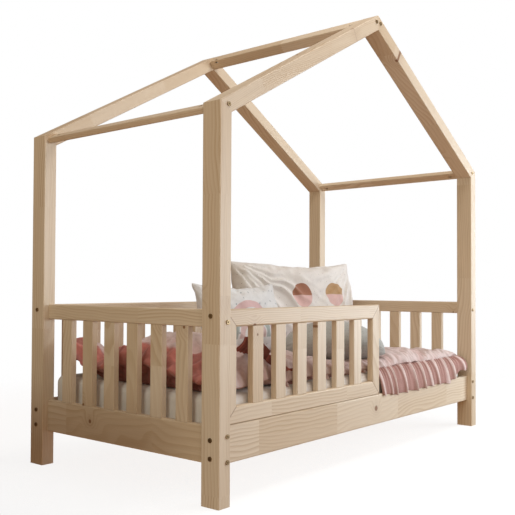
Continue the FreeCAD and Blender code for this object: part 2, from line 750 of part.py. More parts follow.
def make_cushions():
    """Two pillows lean toward the back, and an oval cushion lies in front of them."""
    leaning_pillow("large_pillow", "large_pillow_x", "large_pillow_y", LARGE_PILLOW_HEADING)
    leaning_pillow("small_pillow", "small_pillow_x", "small_pillow_y", 0)
    cushion = doc.addObject("Part::Ellipsoid", "oval_cushion")
    cushion.setExpression("Radius1", bound("cushion_height / 2"))
    cushion.setExpression("Radius2", bound("cushion_length / 2"))
    cushion.setExpression("Radius3", bound("cushion_depth / 2"))
    turn = FreeCAD.Rotation(Z_AXIS, CUSHION_HEADING)
    place(cushion, "cushion_x", "cushion_y", f"{PILLOW_BASE} + cushion_height / 2", turn)
    keep(cushion, "oval_cushion")


def check_and_export():
    """Every object is sound, and each node goes to a file of its own."""
    doc.recompute()
    for item in doc.Objects:
        for state in item.State:
            if state in ("Invalid", "Error"):
                raise RuntimeError(f"{item.Label} is {state}")
    for item in nodes:
        shape = item.Shape
        if shape.isNull() or not shape.isValid() or not shape.Solids:
            raise RuntimeError(f"{item.Label} has no valid solid")
        whole = shape.Solids[0] if len(shape.Solids) == 1 else Part.makeCompound(shape.Solids)
        whole.exportStep(f"parts/{item.Label}.step")
        print(f"{item.Label}: {len(shape.Solids)} solids, {shape.Volume / 1000:.0f} cm3")
    print(f"{len(nodes)} nodes")


make_posts()
make_rafters()
make_ridge_and_eaves()
make_boards()
make_front_guard()
make_slats()
make_base()
make_fasteners()
make_mattress()
make_duvet()
make_cushions()
check_and_export()
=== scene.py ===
"""A house-shaped toddler bed: finish of its timber and fittings, its bedding, and the studio round it."""

import math

import bmesh
import bpy
import numpy as np
from mathutils import Matrix, Vector, noise


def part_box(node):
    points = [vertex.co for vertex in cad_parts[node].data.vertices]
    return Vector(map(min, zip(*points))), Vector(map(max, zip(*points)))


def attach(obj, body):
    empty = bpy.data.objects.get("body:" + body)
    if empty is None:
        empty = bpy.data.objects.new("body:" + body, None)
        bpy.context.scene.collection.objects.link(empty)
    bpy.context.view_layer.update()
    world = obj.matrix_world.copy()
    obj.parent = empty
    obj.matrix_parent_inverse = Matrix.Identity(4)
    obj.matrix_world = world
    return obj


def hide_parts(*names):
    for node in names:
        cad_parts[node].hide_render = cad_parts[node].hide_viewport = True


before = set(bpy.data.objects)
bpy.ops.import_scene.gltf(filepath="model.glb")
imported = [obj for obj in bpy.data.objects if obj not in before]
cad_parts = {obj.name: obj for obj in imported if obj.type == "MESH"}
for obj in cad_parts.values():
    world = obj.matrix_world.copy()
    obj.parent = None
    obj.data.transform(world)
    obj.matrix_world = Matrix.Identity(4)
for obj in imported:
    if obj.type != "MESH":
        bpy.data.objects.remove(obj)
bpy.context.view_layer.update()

bl_info = {
    "name": "Toddler House Bed",
    "version": (1, 0, 0),
    "blender": (4, 5, 0),
    "location": "View3D > Sidebar > Bed",
    "description": "Finishes the timber of a toddler bed and makes its bedding",
    "category": "Object",
}

X, Y, Z = Vector((1, 0, 0)), Vector((0, 1, 0)), Vector((0, 0, 1))
ROOF_SLOPE = math.radians(29)
SLAT_PITCH = {"guard_back_slats": 0.098, "base_slats": 0.108}
EASED_EDGE = 0.0016
FRILL_STEP = 0.0026
PILLOW_STEP = 0.0065


def colour_property(name, description, default):
    """A colour that a user can change."""
    return bpy.props.FloatVectorProperty(
        name=name, description=description, subtype="COLOR", size=3, min=0, max=1, default=default)


class TimberSettings(bpy.types.PropertyGroup):
    """The pine and how its staves are joined."""

    early_wood: colour_property(
        "Early wood", "Colour of the pale, wide part of each growth ring", (0.73, 0.62, 0.48))
    late_wood: colour_property(
        "Late wood", "Colour of the dark line of each growth ring", (0.52, 0.36, 0.20))
    knot: colour_property(
        "Knots", "Colour at the middle of a knot", (0.27, 0.14, 0.07))
    ring_spacing: bpy.props.FloatProperty(
        name="Ring spacing", description="Distance from one growth ring to the next",
        unit="LENGTH", min=0.001, max=0.02, default=0.0048)
    stave_length: bpy.props.FloatProperty(
        name="Stave length", description="Distance from one finger joint to the next",
        unit="LENGTH", min=0.1, max=2, default=0.37)
    gloss: bpy.props.FloatProperty(
        name="Roughness", description="Roughness of the clear varnish",
        subtype="FACTOR", min=0, max=1, default=0.42)


class FittingSettings(bpy.types.PropertyGroup):
    """Bolts, nuts, screws, dowels and webbing."""

    brass: colour_property(
        "Antique brass", "Colour of the bolts", (0.44, 0.32, 0.18))
    zinc: colour_property(
        "Zinc plate", "Colour of the barrel nuts and screws", (0.62, 0.63, 0.64))
    beech: colour_property(
        "Beech", "Colour of the dowels", (0.70, 0.50, 0.32))
    tape: colour_property(
        "Webbing", "Colour of the tapes between the base slats", (0.80, 0.77, 0.69))


class BeddingSettings(bpy.types.PropertyGroup):
    """Mattress, duvet, pillows and cushion."""

    sheet: colour_property(
        "Fitted sheet", "Colour of the sheet on the mattress", (0.80, 0.765, 0.72))
    rose: colour_property(
        "Duvet", "Colour of the duvet and its frill", (0.67, 0.555, 0.535))
    brick: colour_property(
        "Duvet's reverse", "Colour of the underside, which the folded end shows", (0.58, 0.20, 0.16))
    cream: colour_property(
        "Large pillow", "Ground colour of the large pillow", (0.75, 0.72, 0.69))
    white: colour_property(
        "Small pillow", "Ground colour of the small pillow", (0.70, 0.695, 0.685))
    grey: colour_property(
        "Cushion", "Ground colour of the oval cushion", (0.43, 0.435, 0.415))
    pleat: bpy.props.FloatProperty(
        name="Pleat", description="Distance between two pleats of the frill",
        unit="LENGTH", min=0.01, max=0.1, default=0.064)


class StageSettings(bpy.types.PropertyGroup):
    """Camera, floor and light."""

    eye: bpy.props.FloatVectorProperty(
        name="Camera", description="Where the camera stands",
        subtype="TRANSLATION", unit="LENGTH", size=3, default=(-2.1264, -1.6327, 0.541))
    heading: bpy.props.FloatProperty(
        name="Heading", description="Direction of view, turned from the bed's length toward its back",
        subtype="ANGLE", unit="ROTATION", default=math.radians(39.379))
    tilt: bpy.props.FloatProperty(
        name="Tilt", description="How far the camera looks up",
        subtype="ANGLE", unit="ROTATION", default=math.radians(1.271))
    roll: bpy.props.FloatProperty(
        name="Roll", description="Turn about the line of view",
        subtype="ANGLE", unit="ROTATION", default=math.radians(0.229))
    lens: bpy.props.FloatProperty(
        name="Focal length", description="In millimetres, on a 36 mm sensor",
        subtype="DISTANCE_CAMERA", min=10, default=53.12)
    backdrop: bpy.props.FloatVectorProperty(
        name="Backdrop", description="Colour of the wall behind the bed",
        subtype="COLOR", size=3, min=0, max=2, default=(1.0, 1.0, 1.0))


class BedSettings(bpy.types.PropertyGroup):
    """Every size and colour of the bed that a user would change."""

    timber: bpy.props.PointerProperty(
        name="Timber", description="Pine frame", type=TimberSettings)
    fittings: bpy.props.PointerProperty(
        name="Fittings", description="Bolts and other hardware", type=FittingSettings)
    bedding: bpy.props.PointerProperty(
        name="Bedding", description="Mattress and soft goods", type=BeddingSettings)
    stage: bpy.props.PointerProperty(
        name="Stage", description="Camera, floor and light", type=StageSettings)


def scene_settings():
    return bpy.context.scene.toddler_bed


# Shader nodes


class Wiring:
    """Short calls that add and join the nodes of one tree."""

    def __init__(self, tree):
        self.tree = tree

    def put(self, value, socket):
        if isinstance(value, bpy.types.NodeSocket):
            self.tree.links.new(value, socket)
        elif value is not None:
            socket.default_value = value

    def add(self, kind, inputs=None, **settings):
        """A node with its settings and named inputs."""
        node = self.tree.nodes.new("ShaderNode" + kind)
        for name, value in settings.items():
            setattr(node, name, value)
        for name, value in (inputs or {}).items():
            self.put(value, node.inputs[name])
        return node

    def math(self, operation, *values):
        node = self.add("Math", operation=operation)
        for socket, value in zip(node.inputs, values):
            self.put(value, socket)
        return node.outputs[0]

    def plus(self, first, second):
        return self.math("ADD", first, second)

    def minus(self, first, second):
        return self.math("SUBTRACT", first, second)

    def times(self, first, second):
        return self.math("MULTIPLY", first, second)

    def over(self, first, second):
        return self.math("DIVIDE", first, second)

    def vector(self, operation, *values, output="Vector"):
        node = self.add("VectorMath", operation=operation)
        for socket, value in zip(node.inputs, values):
            self.put(value, socket)
        return node.outputs[output]

    def blend(self, factor, first, second, mode="MIX"):
        """A mix of two colours."""
        node = self.add("Mix", data_type="RGBA", blend_type=mode)
        for number, value in ((0, factor), (6, first), (7, second)):
            self.put(value, node.inputs[number])
        return node.outputs[2]

    def step(self, value, start, end, low=0.0, high=1.0):
        """A smooth step of the value from low at the start to high at the end."""
        node = self.add("MapRange", {"Value": value, "From Min": start, "From Max": end,
                                     "To Min": low, "To Max": high}, interpolation_type="SMOOTHSTEP")
        return node.outputs[0]

    def join(self, x, y, z=0.0):
        return self.add("CombineXYZ", {"X": x, "Y": y, "Z": z}).outputs[0]

    def split(self, vector):
        return self.add("SeparateXYZ", {"Vector": vector}).outputs


def make_group(name, inputs, wire_up):
    """A shader group with the given inputs, and what wire_up returns as its outputs."""
    tree = bpy.data.node_groups.new(name, "ShaderNodeTree")
    for label, (kind, default) in inputs.items():
        socket = tree.interface.new_socket(label, in_out="INPUT", socket_type="NodeSocket" + kind)
        if default is not None:
            socket.default_value = default
    wires = Wiring(tree)
    outputs = wire_up(wires, tree.nodes.new("NodeGroupInput").outputs)
    for label in outputs:
        tree.interface.new_socket(label, in_out="OUTPUT", socket_type="NodeSocketFloat")
    end = tree.nodes.new("NodeGroupOutput")
    for label, value in outputs.items():
        wires.put(value, end.inputs[label])
    return tree


def shader_group(name, inputs):
    """Turns a function that wires a shader group into one that gives the group, made at its first use."""
    def wrap(wire_up):
        def group():
            return bpy.data.node_groups.get(name) or make_group(name, inputs, wire_up)

        return group

    return wrap


@shader_group("Pine grain", {
    "Length axis": ("Vector", (1, 0, 0)), "Thickness axis": ("Vector", (0, 1, 0)),
    "Width axis": ("Vector", (0, 0, 1)), "Seed": ("Float", 0.0), "Piece pitch": ("Float", 100.0),
    "Ring spacing": ("Float", 0.005), "Stave length": ("Float", 0.4)})
def pine_grain_group(wires, given):
    """Growth rings, finger-jointed staves, knots and fibre of a piece whose three axes are given."""
    plus, minus, times, over, step = wires.plus, wires.minus, wires.times, wires.over, wires.step
    place = wires.add("TexCoord").outputs["Object"]
    along, through, across = (wires.vector("DOT_PRODUCT", place, given[axis], output="Value")
                              for axis in ("Length axis", "Thickness axis", "Width axis"))
    piece = wires.math("FLOOR", plus(over(across, given["Piece pitch"]), 0.5))
    seed = plus(given["Seed"], times(piece, 3.71))

    finger_width, finger_slope = 0.0035, 2.2
    fingers = times(wires.math("PINGPONG", through, finger_width), finger_slope)
    reach = over(plus(along, fingers), given["Stave length"])
    stave = wires.math("FLOOR", plus(reach, times(seed, 0.377)))
    chance = wires.add("TexWhiteNoise", {"W": plus(times(stave, 7.31), seed)}, noise_dimensions="1D")
    first, second, third = wires.split(chance.outputs["Color"])
    shift = wires.join(times(seed, 1.7), times(seed, 2.9), times(stave, 5.3))

    def drawn_out(lengthwise, crosswise, detail, roughness):
        """Noise drawn out along the grain."""
        spot = wires.join(times(along, lengthwise), times(through, crosswise), times(across, crosswise))
        return wires.add("TexNoise", {"Vector": wires.vector("ADD", spot, shift), "Scale": 1.0,
                                      "Detail": detail, "Roughness": roughness}).outputs[0]

    knot_spacing, knot_row = 0.26, 0.055
    cell = wires.join(plus(over(along, knot_spacing), times(seed, 5.1)),
                      plus(over(across, knot_row), times(seed, 2.3)))
    spots = wires.add("TexVoronoi", {"Vector": cell, "Scale": 1.0}, voronoi_dimensions="2D")
    apart = wires.vector("MULTIPLY", wires.vector("SUBTRACT", cell, spots.outputs["Position"]),
                         (knot_spacing, knot_row, 0.0))
    far = wires.vector("LENGTH", apart, output="Value")
    chosen, size, _ = wires.split(spots.outputs["Color"])
    there = wires.math("GREATER_THAN", chosen, 0.90)
    radius = plus(times(size, 0.007), 0.003)
    knot = times(step(far, times(radius, 1.3), times(radius, 0.6)), there)
    round_knot = times(step(far, 0.045, 0.0), there)

    slant = times(along, times(minus(third, 0.5), 0.10))
    side = plus(minus(through, times(minus(first, 0.5), 0.20)), slant)
    up = minus(across, times(minus(second, 0.5), 0.10))
    heart = wires.math("SQRT", plus(times(side, side), times(up, up)))
    sway = times(minus(drawn_out(3.0, 6.0, detail=2.0, roughness=0.5), 0.5), 0.030)
    heart = plus(plus(heart, sway), times(round_knot, 0.012))
    phase = wires.math("FRACT", over(heart, given["Ring spacing"]))
    rings = times(step(phase, 0.25, 0.90), step(phase, 1.0, 0.93))
    spot = wires.vector("ADD", wires.join(times(along, 1.5), times(heart, 60.0)), shift)
    faded = wires.add("TexNoise", {"Vector": spot, "Scale": 1.0, "Detail": 1.0}).outputs[0]
    rings = times(rings, step(faded, 0.25, 0.75, 0.25, 1.0))

    fibre = drawn_out(9.0, 420.0, detail=3.0, roughness=0.6)
    height = minus(times(fibre, 0.6), times(rings, 0.35))
    knots = wires.math("MAXIMUM", knot, times(round_knot, 0.12))
    return {"Rings": rings, "Tone": first, "Knots": knots, "Fibre": fibre, "Height": height}


@shader_group("Woven cotton", {
    "Thread": ("Float", 0.0009), "Crumple size": ("Float", 0.02), "Crumple depth": ("Float", 1.0)})
def weave_group(wires, given):
    """Threads of a plain weave and the soft crumples of cotton."""
    place = wires.add("TexCoord").outputs["Object"]
    turn = wires.over(2 * math.pi, given["Thread"])
    x, y, z = (wires.math("SINE", wires.times(axis, turn)) for axis in wires.split(place))
    crossings = wires.plus(wires.plus(wires.times(x, y), wires.times(y, z)), wires.times(z, x))
    threads = wires.times(crossings, 0.5)
    crumples = wires.add("TexNoise", {"Vector": place, "Scale": wires.over(1.0, given["Crumple size"]),
                                      "Detail": 4.0, "Roughness": 0.55, "Distortion": 0.6}).outputs[0]
    height = wires.plus(wires.times(threads, 0.06), wires.times(crumples, given["Crumple depth"]))
    return {"Threads": threads, "Crumples": crumples, "Height": height}


@shader_group("Printed dots", {
    "Cloth": ("Vector", None), "Spacing": ("Float", 0.03), "Radius": ("Float", 0.002),
    "Regularity": ("Float", 0.5)})
def dots_group(wires, given):
    """Small printed dots scattered over flat cloth."""
    cell = wires.vector("DIVIDE", given["Cloth"], wires.join(given["Spacing"], given["Spacing"], 1.0))
    spots = wires.add("TexVoronoi", {"Vector": cell, "Scale": 1.0,
                                     "Randomness": wires.minus(1.0, given["Regularity"])},
                      voronoi_dimensions="2D")
    far = wires.times(spots.outputs["Distance"], given["Spacing"])
    return {"Dots": wires.step(far, wires.times(given["Radius"], 1.15), wires.times(given["Radius"], 0.85))}


@shader_group("Printed arch", {
    "Cloth": ("Vector", None), "Centre": ("Vector", None), "Inner radius": ("Float", 0.0),
    "Outer radius": ("Float", 0.05)})
def arch_group(wires, given):
    """A band bent into a half circle that stands on its two ends, printed on flat cloth."""
    blur = 0.0008
    apart = wires.vector("SUBTRACT", given["Cloth"], given["Centre"])
    far = wires.vector("LENGTH", apart, output="Value")
    upward = wires.step(wires.split(apart)[1], -blur, blur)
    outer = wires.step(far, wires.plus(given["Outer radius"], blur), given["Outer radius"])
    inner = wires.step(far, wires.minus(given["Inner radius"], blur), given["Inner radius"])
    band = wires.times(outer, inner)
    return {"Arch": wires.times(band, upward), "Below": wires.times(band, wires.minus(1.0, upward))}


@shader_group("Joint lines and edge shade", {"Low corner": ("Vector", None), "High corner": ("Vector", None)})
def joint_lines_and_edge_shade_group(wires, given):
    """Fine dark lines along the mitres of an upright rectangular frame, and painted shade along its lower
    edge, where it sits on the part below.
    """
    place = wires.split(wires.add("TexCoord").outputs["Object"])
    low, high = wires.split(given["Low corner"]), wires.split(given["High corner"])
    line_edge = 0.0026
    # Painted shade: a dark line along the lower edge.
    lines = wires.step(wires.minus(place[2], low[2]), line_edge, 0.0010)
    for across, up, slant in ((low, low, "SUBTRACT"), (high, high, "SUBTRACT"), (low, high, "ADD"),
                              (high, low, "ADD")):
        x, z = wires.minus(place[0], across[0]), wires.minus(place[2], up[2])
        far = wires.math("ABSOLUTE", wires.math(slant, x, z))
        near = wires.step(wires.vector("LENGTH", wires.join(x, 0.0, z), output="Value"), 0.11, 0.10)
        lines = wires.math("MAXIMUM", lines, wires.times(wires.step(far, line_edge, 0.0012), near))
    return {"Lines": lines}


@shader_group("Tarnish", {"Size": ("Float", 0.003)})
def tarnish_group(wires, given):
    """Uneven tarnish of small metal parts."""
    place = wires.add("TexCoord").outputs["Object"]
    scale = wires.over(1.0, given["Size"])
    cloud = wires.add("TexNoise", {"Vector": place, "Scale": scale, "Detail": 4.0}).outputs[0]
    drawn = wires.vector("MULTIPLY", place, (1.0, 1.0, 9.0))
    scratches = wires.add("TexNoise", {"Vector": drawn, "Scale": wires.times(scale, 3.0), "Detail": 2.0})
    return {"Tarnish": wires.step(cloud, 0.35, 0.7), "Scratches": scratches.outputs[0]}


def place_group(wires, group, **values):
    """One use of a shader group in a material."""
    node = wires.tree.nodes.new("ShaderNodeGroup")
    node.node_tree = group
    for name, value in values.items():
        wires.put(value, node.inputs[name.replace("_", " ")])
    return node.outputs


def new_material(name, **constants):
    """A material with its shader's plain values; returns it with its wiring and its shader."""
    material = bpy.data.materials.new(name)
    material.use_nodes = True
    shader = next(node for node in material.node_tree.nodes if node.type == "BSDF_PRINCIPLED")
    for socket, value in constants.items():
        shader.inputs[socket.replace("_", " ")].default_value = value
    return material, Wiring(material.node_tree), shader


def add_bump(wires, shader, height, distance, strength=1.0):
    bump = wires.add("Bump", {"Height": height, "Distance": distance, "Strength": strength})
    wires.put(bump.outputs[0], shader.inputs["Normal"])


def solid(colour):
    return (*colour, 1.0)


def tint(colour, amount):
    """The colour made lighter, above 1, or darker."""
    return tuple(min(1.0, channel * amount) for channel in colour)


def pine(name, length, thickness, width, seed, pitch=100.0, mitred=None):
    """Clear-varnished pine with its grain along an axis, and joint lines between two corners if given, with
    painted shade along their lower edge.
    """
    timber = scene_settings().timber
    material, wires, shader = new_material(name, IOR=1.45, Coat_Weight=0.12, Coat_Roughness=0.3)
    grain = place_group(wires, pine_grain_group(), Length_axis=length, Thickness_axis=thickness,
                        Width_axis=width, Seed=seed, Piece_pitch=pitch, Ring_spacing=timber.ring_spacing,
                        Stave_length=timber.stave_length)
    early = wires.blend(grain["Tone"], solid(tint(timber.early_wood, 1.05)),
                        solid(np.array(timber.early_wood) * (0.91, 0.85, 0.77)))
    colour = wires.blend(wires.times(grain["Rings"], 0.58), early, solid(timber.late_wood))
    streaks = wires.step(grain["Fibre"], 0.3, 0.75, 0.955, 1.035)
    colour = wires.blend(1.0, colour, wires.join(streaks, streaks, streaks), "MULTIPLY")
    colour = wires.blend(grain["Knots"], colour, solid(timber.knot))
    if mitred:
        # Dark mitre joints, and painted shade along the frame's lower edge.
        joints_and_edge_shade = place_group(wires, joint_lines_and_edge_shade_group(), Low_corner=mitred[0], High_corner=mitred[1])
        colour = wires.blend(wires.times(joints_and_edge_shade["Lines"], 0.6), colour, solid(timber.knot))
    wires.put(colour, shader.inputs["Base Color"])
    rough = wires.plus(wires.times(grain["Fibre"], 0.16), timber.gloss - 0.06)
    wires.put(rough, shader.inputs["Roughness"])
    add_bump(wires, shader, grain["Height"], 0.0006, 0.5)
    return material


def metal(name, colour, roughness):
    """Plated or plain metal with uneven tarnish."""
    material, wires, shader = new_material(name, Metallic=1.0)
    wear = place_group(wires, tarnish_group(), Size=0.003)
    dull = solid(tint(colour, 0.55))
    wires.put(wires.blend(wear["Tarnish"], solid(colour), dull), shader.inputs["Base Color"])
    wires.put(wires.plus(wires.times(wear["Tarnish"], 0.2), roughness), shader.inputs["Roughness"])
    add_bump(wires, shader, wear["Scratches"], 0.0001, 0.4)
    return material


def cotton(name, colour, thread=0.0009, crumple=0.02, depth=1.0, print_and_painted_shade=None, bump=0.0016, shade=0.88):
    """A woven cotton with painted shade in its dents; an optional function puts a print, or painted light
    and shade, on its ground colour.
    """
    material, wires, shader = new_material(
        name, Roughness=0.85, Sheen_Weight=0.25, Sheen_Roughness=0.5, IOR=1.4)
    shader.inputs["Sheen Tint"].default_value = solid(tint(colour, 1.3))
    weave = place_group(wires, weave_group(), Thread=thread, Crumple_size=crumple, Crumple_depth=depth)
    ground = solid(colour)
    if print_and_painted_shade:
        cloth = wires.add("UVMap", uv_map="cloth").outputs[0]
        ground = print_and_painted_shade(wires, cloth, ground)
    # Painted shade: the colour is darkened where the crumple and thread noise of the bump dips, down to the
    # factor shade.
    painted_crumple_shade = wires.step(weave["Crumples"], 0.3, 0.6, shade, 1.0)
    painted_crumple_shade = wires.times(painted_crumple_shade, wires.step(weave["Threads"], -0.7, 0.7, 0.97, 1.02))
    wires.put(wires.blend(1.0, ground, wires.join(painted_crumple_shade, painted_crumple_shade, painted_crumple_shade), "MULTIPLY"), shader.inputs["Base Color"])
    wires.put(wires.step(weave["Threads"], -0.8, 0.8, 0.9, 0.78), shader.inputs["Roughness"])
    add_bump(wires, shader, weave["Height"], bump, 0.6)
    return material


def print_cream(wires, cloth, ground):
    """Fine dots, and two half discs over paler ones."""
    dots = place_group(wires, dots_group(), Cloth=cloth, Spacing=0.034, Radius=0.0016, Regularity=0.2)
    colour = wires.blend(wires.times(dots["Dots"], 0.8), ground, (0.42, 0.36, 0.36, 1))
    for centre, top, low in (((-0.013, 0.020, 0), (0.34, 0.15, 0.09, 1), (0.66, 0.44, 0.41, 1)),
                             ((0.164, 0.026, 0), (0.45, 0.28, 0.14, 1), (0.68, 0.46, 0.43, 1))):
        disc = place_group(wires, arch_group(), Cloth=cloth, Centre=centre, Inner_radius=-1.0,
                           Outer_radius=0.049)
        colour = wires.blend(disc["Arch"], colour, top)
        colour = wires.blend(disc["Below"], colour, low)
    return colour


def print_white(wires, cloth, ground):
    """Grey dots and nested arches."""
    dots = place_group(wires, dots_group(), Cloth=cloth, Spacing=0.040, Radius=0.0036, Regularity=0.35)
    colour = wires.blend(wires.times(dots["Dots"], 0.75), ground, (0.30, 0.32, 0.33, 1))
    for inner, outer, ink in ((0.105, 0.130, (0.62, 0.42, 0.41, 1)), (0.076, 0.098, (0.38, 0.42, 0.40, 1)),
                              (0.046, 0.068, (0.62, 0.46, 0.44, 1))):
        arch = place_group(wires, arch_group(), Cloth=cloth, Centre=(-0.005, -0.076, 0), Inner_radius=inner,
                           Outer_radius=outer)
        colour = wires.blend(arch["Arch"], colour, ink)
    return colour


def print_grey(wires, cloth, ground):
    """Close rows of dark dots."""
    dots = place_group(wires, dots_group(), Cloth=cloth, Spacing=0.016, Radius=0.0021, Regularity=0.55)
    return wires.blend(wires.times(dots["Dots"], 0.55), ground, (0.20, 0.20, 0.20, 1))


# Meshes


def smooth_mesh(name, points, faces, material):
    """A smooth mesh with one material, put in the scene."""
    mesh = bpy.data.meshes.new(name)
    mesh.from_pydata([tuple(p) for p in points], [], faces)
    mesh.materials.append(material)
    mesh.polygons.foreach_set("use_smooth", [True] * len(mesh.polygons))
    piece = bpy.data.objects.new(name, mesh)
    bpy.context.scene.collection.objects.link(piece)
    return piece


def new_piece(name, points, faces, body, material):
    """A smooth mesh that moves with a body of the frame."""
    piece = smooth_mesh(name, points, faces, material)
    piece.data.validate()
    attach(piece, body)
    return piece


def loft(rows, closed=True):
    """Points and faces of a surface through equal rows of points; the rows are closed loops."""
    count = len(rows[0])
    points = [point for row in rows for point in row]
    faces = []
    for i in range(len(rows) - 1):
        for j in range(count if closed else count - 1):
            k = (j + 1) % count
            faces.append((i * count + j, i * count + k, (i + 1) * count + k, (i + 1) * count + j))
    return points, faces


def weld(piece, distance=0.0004):
    """Joins points that coincide and turns the faces outward."""
    work = bmesh.new()
    work.from_mesh(piece.data)
    bmesh.ops.remove_doubles(work, verts=work.verts, dist=distance)
    bmesh.ops.recalc_face_normals(work, faces=work.faces)
    work.to_mesh(piece.data)
    work.free()


def vertices_of(mesh):
    flat = np.zeros(len(mesh.vertices) * 3)
    mesh.vertices.foreach_get("co", flat)
    return flat.reshape(-1, 3)


def set_vertices(mesh, points):
    mesh.vertices.foreach_set("co", np.asarray(points, float).ravel())
    mesh.update()


def swell(piece, pressure, frames, cap, stiffness, bending, growth=0.0, held=None):
    """Lets the cloth fill out under air pressure, and keeps where it ends, within a cap."""
    start = vertices_of(piece.data)
    modifier = piece.modifiers.new("Air", "CLOTH")
    cloth = modifier.settings
    cloth.quality = 6
    cloth.mass = 0.3
    cloth.tension_stiffness = cloth.compression_stiffness = stiffness
    cloth.shear_stiffness = stiffness / 2
    cloth.bending_stiffness = bending
    cloth.tension_damping = cloth.compression_damping = cloth.shear_damping = 12
    cloth.air_damping = 4
    cloth.shrink_min = -growth
    cloth.use_pressure = True
    cloth.uniform_pressure_force = pressure
    cloth.effector_weights.gravity = 0
    modifier.collision_settings.use_collision = False
    if held is not None:
        piece.vertex_groups.new(name="held").add(held, 1.0, "REPLACE")
        cloth.vertex_group_mass = "held"
        cloth.pin_stiffness = 2.0
    modifier.point_cache.frame_start = 1
    modifier.point_cache.frame_end = frames
    for number in range(1, frames + 1):
        bpy.context.scene.frame_set(number)
    shown = piece.evaluated_get(bpy.context.evaluated_depsgraph_get())
    end = vertices_of(shown.data)
    piece.modifiers.remove(modifier)
    move = end - start
    far = np.linalg.norm(move, axis=1, keepdims=True)
    set_vertices(piece.data, start + move * np.minimum(1.0, cap / np.maximum(far, 1e-9)))
    bpy.context.scene.frame_set(1)


def subdivide(piece):
    modifier = piece.modifiers.new("Smooth", "SUBSURF")
    modifier.levels = modifier.render_levels = 1


def ease(value, start, end):
    """A smooth step as plain numbers."""
    t = min(1.0, max(0.0, (value - start) / (end - start)))
    return t * t * (3 - 2 * t)


def rough(x, y, z, detail=3):
    """Smooth random heights from about -1 to 1."""
    return noise.fractal(Vector((x, y, z)), 1.0, 2.0, detail)


def crease(x, y, z):
    """Random heights with sharp ridges, from 0 to 1."""
    return 1.0 - abs(noise.noise(Vector((x, y, z)))) * 2.0


# Bedding


def make_mattress():
    """A foam block in a fitted sheet, softly rounded and drawn in a little at its corners."""
    low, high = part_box("mattress")
    middle, half = (low + high) / 2, (high - low) / 2
    radius = 0.024
    bends = [math.radians(angle) for angle in (0, 18, 36, 54, 72, 90)]
    quarters = ((1, 1), (-1, 1), (-1, -1), (1, -1))
    rows = []
    stations = [(0.0, share) for share in (0.02, 0.35, 0.7)] + [(math.sin(bend), 1.0) for bend in bends]
    depths = [0.0] * 3 + [1 - math.cos(bend) for bend in bends]
    inner = [(-half.x + radius * depth, swing, share) for depth, (swing, share) in zip(depths, stations)]
    body = [(-half.x + radius + t * (2 * half.x - 2 * radius), 1.0, 1.0)
            for t in np.linspace(0, 1, 72)[1:-1]]
    ends = inner + body + [(-x, swing, share) for x, swing, share in reversed(inner)]
    for x, swing, share in ends:
        row = []
        round_ = radius * swing
        flat_y, flat_z = (half.y - radius) * share, (half.z - radius) * share
        for corner, (sy, sz) in enumerate(quarters):
            for turn in np.linspace(0, math.pi / 2, 6):
                angle = turn + corner * math.pi / 2
                row.append((x, sy * flat_y + round_ * math.cos(angle),
                            sz * flat_z + round_ * math.sin(angle)))
            following = quarters[(corner + 1) % 4]
            steps = 40 if corner in (0, 2) else 8
            a = np.array(row[-1])
            angle = (corner + 1) * math.pi / 2
            b = np.array((x, following[0] * flat_y + round_ * math.cos(angle),
                          following[1] * flat_z + round_ * math.sin(angle)))
            row += [tuple(a + (b - a) * t) for t in np.linspace(0, 1, steps + 1)[1:-1]]
        rows.append(row)
    points, faces = loft(rows)
    count = len(rows[0])
    faces += [tuple(reversed(range(count))), tuple(range(len(points) - count, len(points)))]
    shaped = []
    for x, y, z in points:
        near_end = ease(abs(x), half.x - 0.25, half.x)
        near_side = ease(abs(y), half.y - 0.12, half.y)
        pull = near_end * near_side
        drag = crease(x * 9, y * 9 + z * 22, 2.0) * 0.0016 * pull
        wave = rough(x * 4, y * 4, z * 9) * 0.0016
        crown = 0.003 * (1 - (x / half.x) ** 2) * (1 if z > 0 else 0)
        shaped.append((middle.x + x * (1 - 0.002 * near_side), middle.y + y * (1 - 0.003 * near_end),
                       middle.z + z + (wave + drag + crown if z > 0 else 0)))
    colour = scene_settings().bedding.sheet
    piece = new_piece("mattress_in_sheet", shaped, faces, "mattress_body",
                      cotton("Jersey sheet", colour, thread=0.0012, crumple=0.05, depth=0.6, shade=0.94))
    weld(piece)
    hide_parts("mattress")
    subdivide(piece)


# Pairs of distance and height of the duvet: across its folded end, along its front and along its back
END_HEIGHTS = ((0.15, -0.038), (0.25, -0.002), (0.355, 0.027), (0.455, -0.012), (0.56, -0.038),
               (0.66, 0.022))
FRONT_HEIGHTS = ((0.0, 0.082), (0.05, 0.108), (0.12, 0.128), (0.16, 0.126), (0.21, 0.096), (0.27, 0.080),
                 (0.37, 0.058), (0.49, 0.040), (0.60, 0.026), (0.72, 0.019), (0.86, 0.031), (1.0, 0.045),
                 (1.16, 0.033), (1.28, 0.024), (1.375, 0.015))
BACK_HEIGHTS = ((0.0, 0.072), (0.05, 0.082), (0.15, 0.084), (0.22, 0.070), (0.29, 0.042), (0.35, 0.022),
                (0.60, 0.016), (1.375, 0.014))


def height_at(table, x):
    return float(np.interp(x, [row[0] for row in table], [row[1] for row in table]))


def crumples(x, y, seed):
    """Sharp little folds of cotton that run every way, from 0 to 1."""
    u, v = x + 0.03 * rough(x * 6, y * 6, seed), y + 0.03 * rough(x * 6, y * 6, seed + 9)
    broad = crease(u * 9, v * 7, seed + 1)
    middling = crease(u * 19 - v * 5, v * 15, seed + 3)
    fine = crease(u * 38 + v * 9, v * 30, seed + 2)
    return 0.50 * max(0.0, broad) ** 2.5 + 0.33 * max(0.0, middling) ** 2 + 0.17 * max(0.0, fine) ** 2


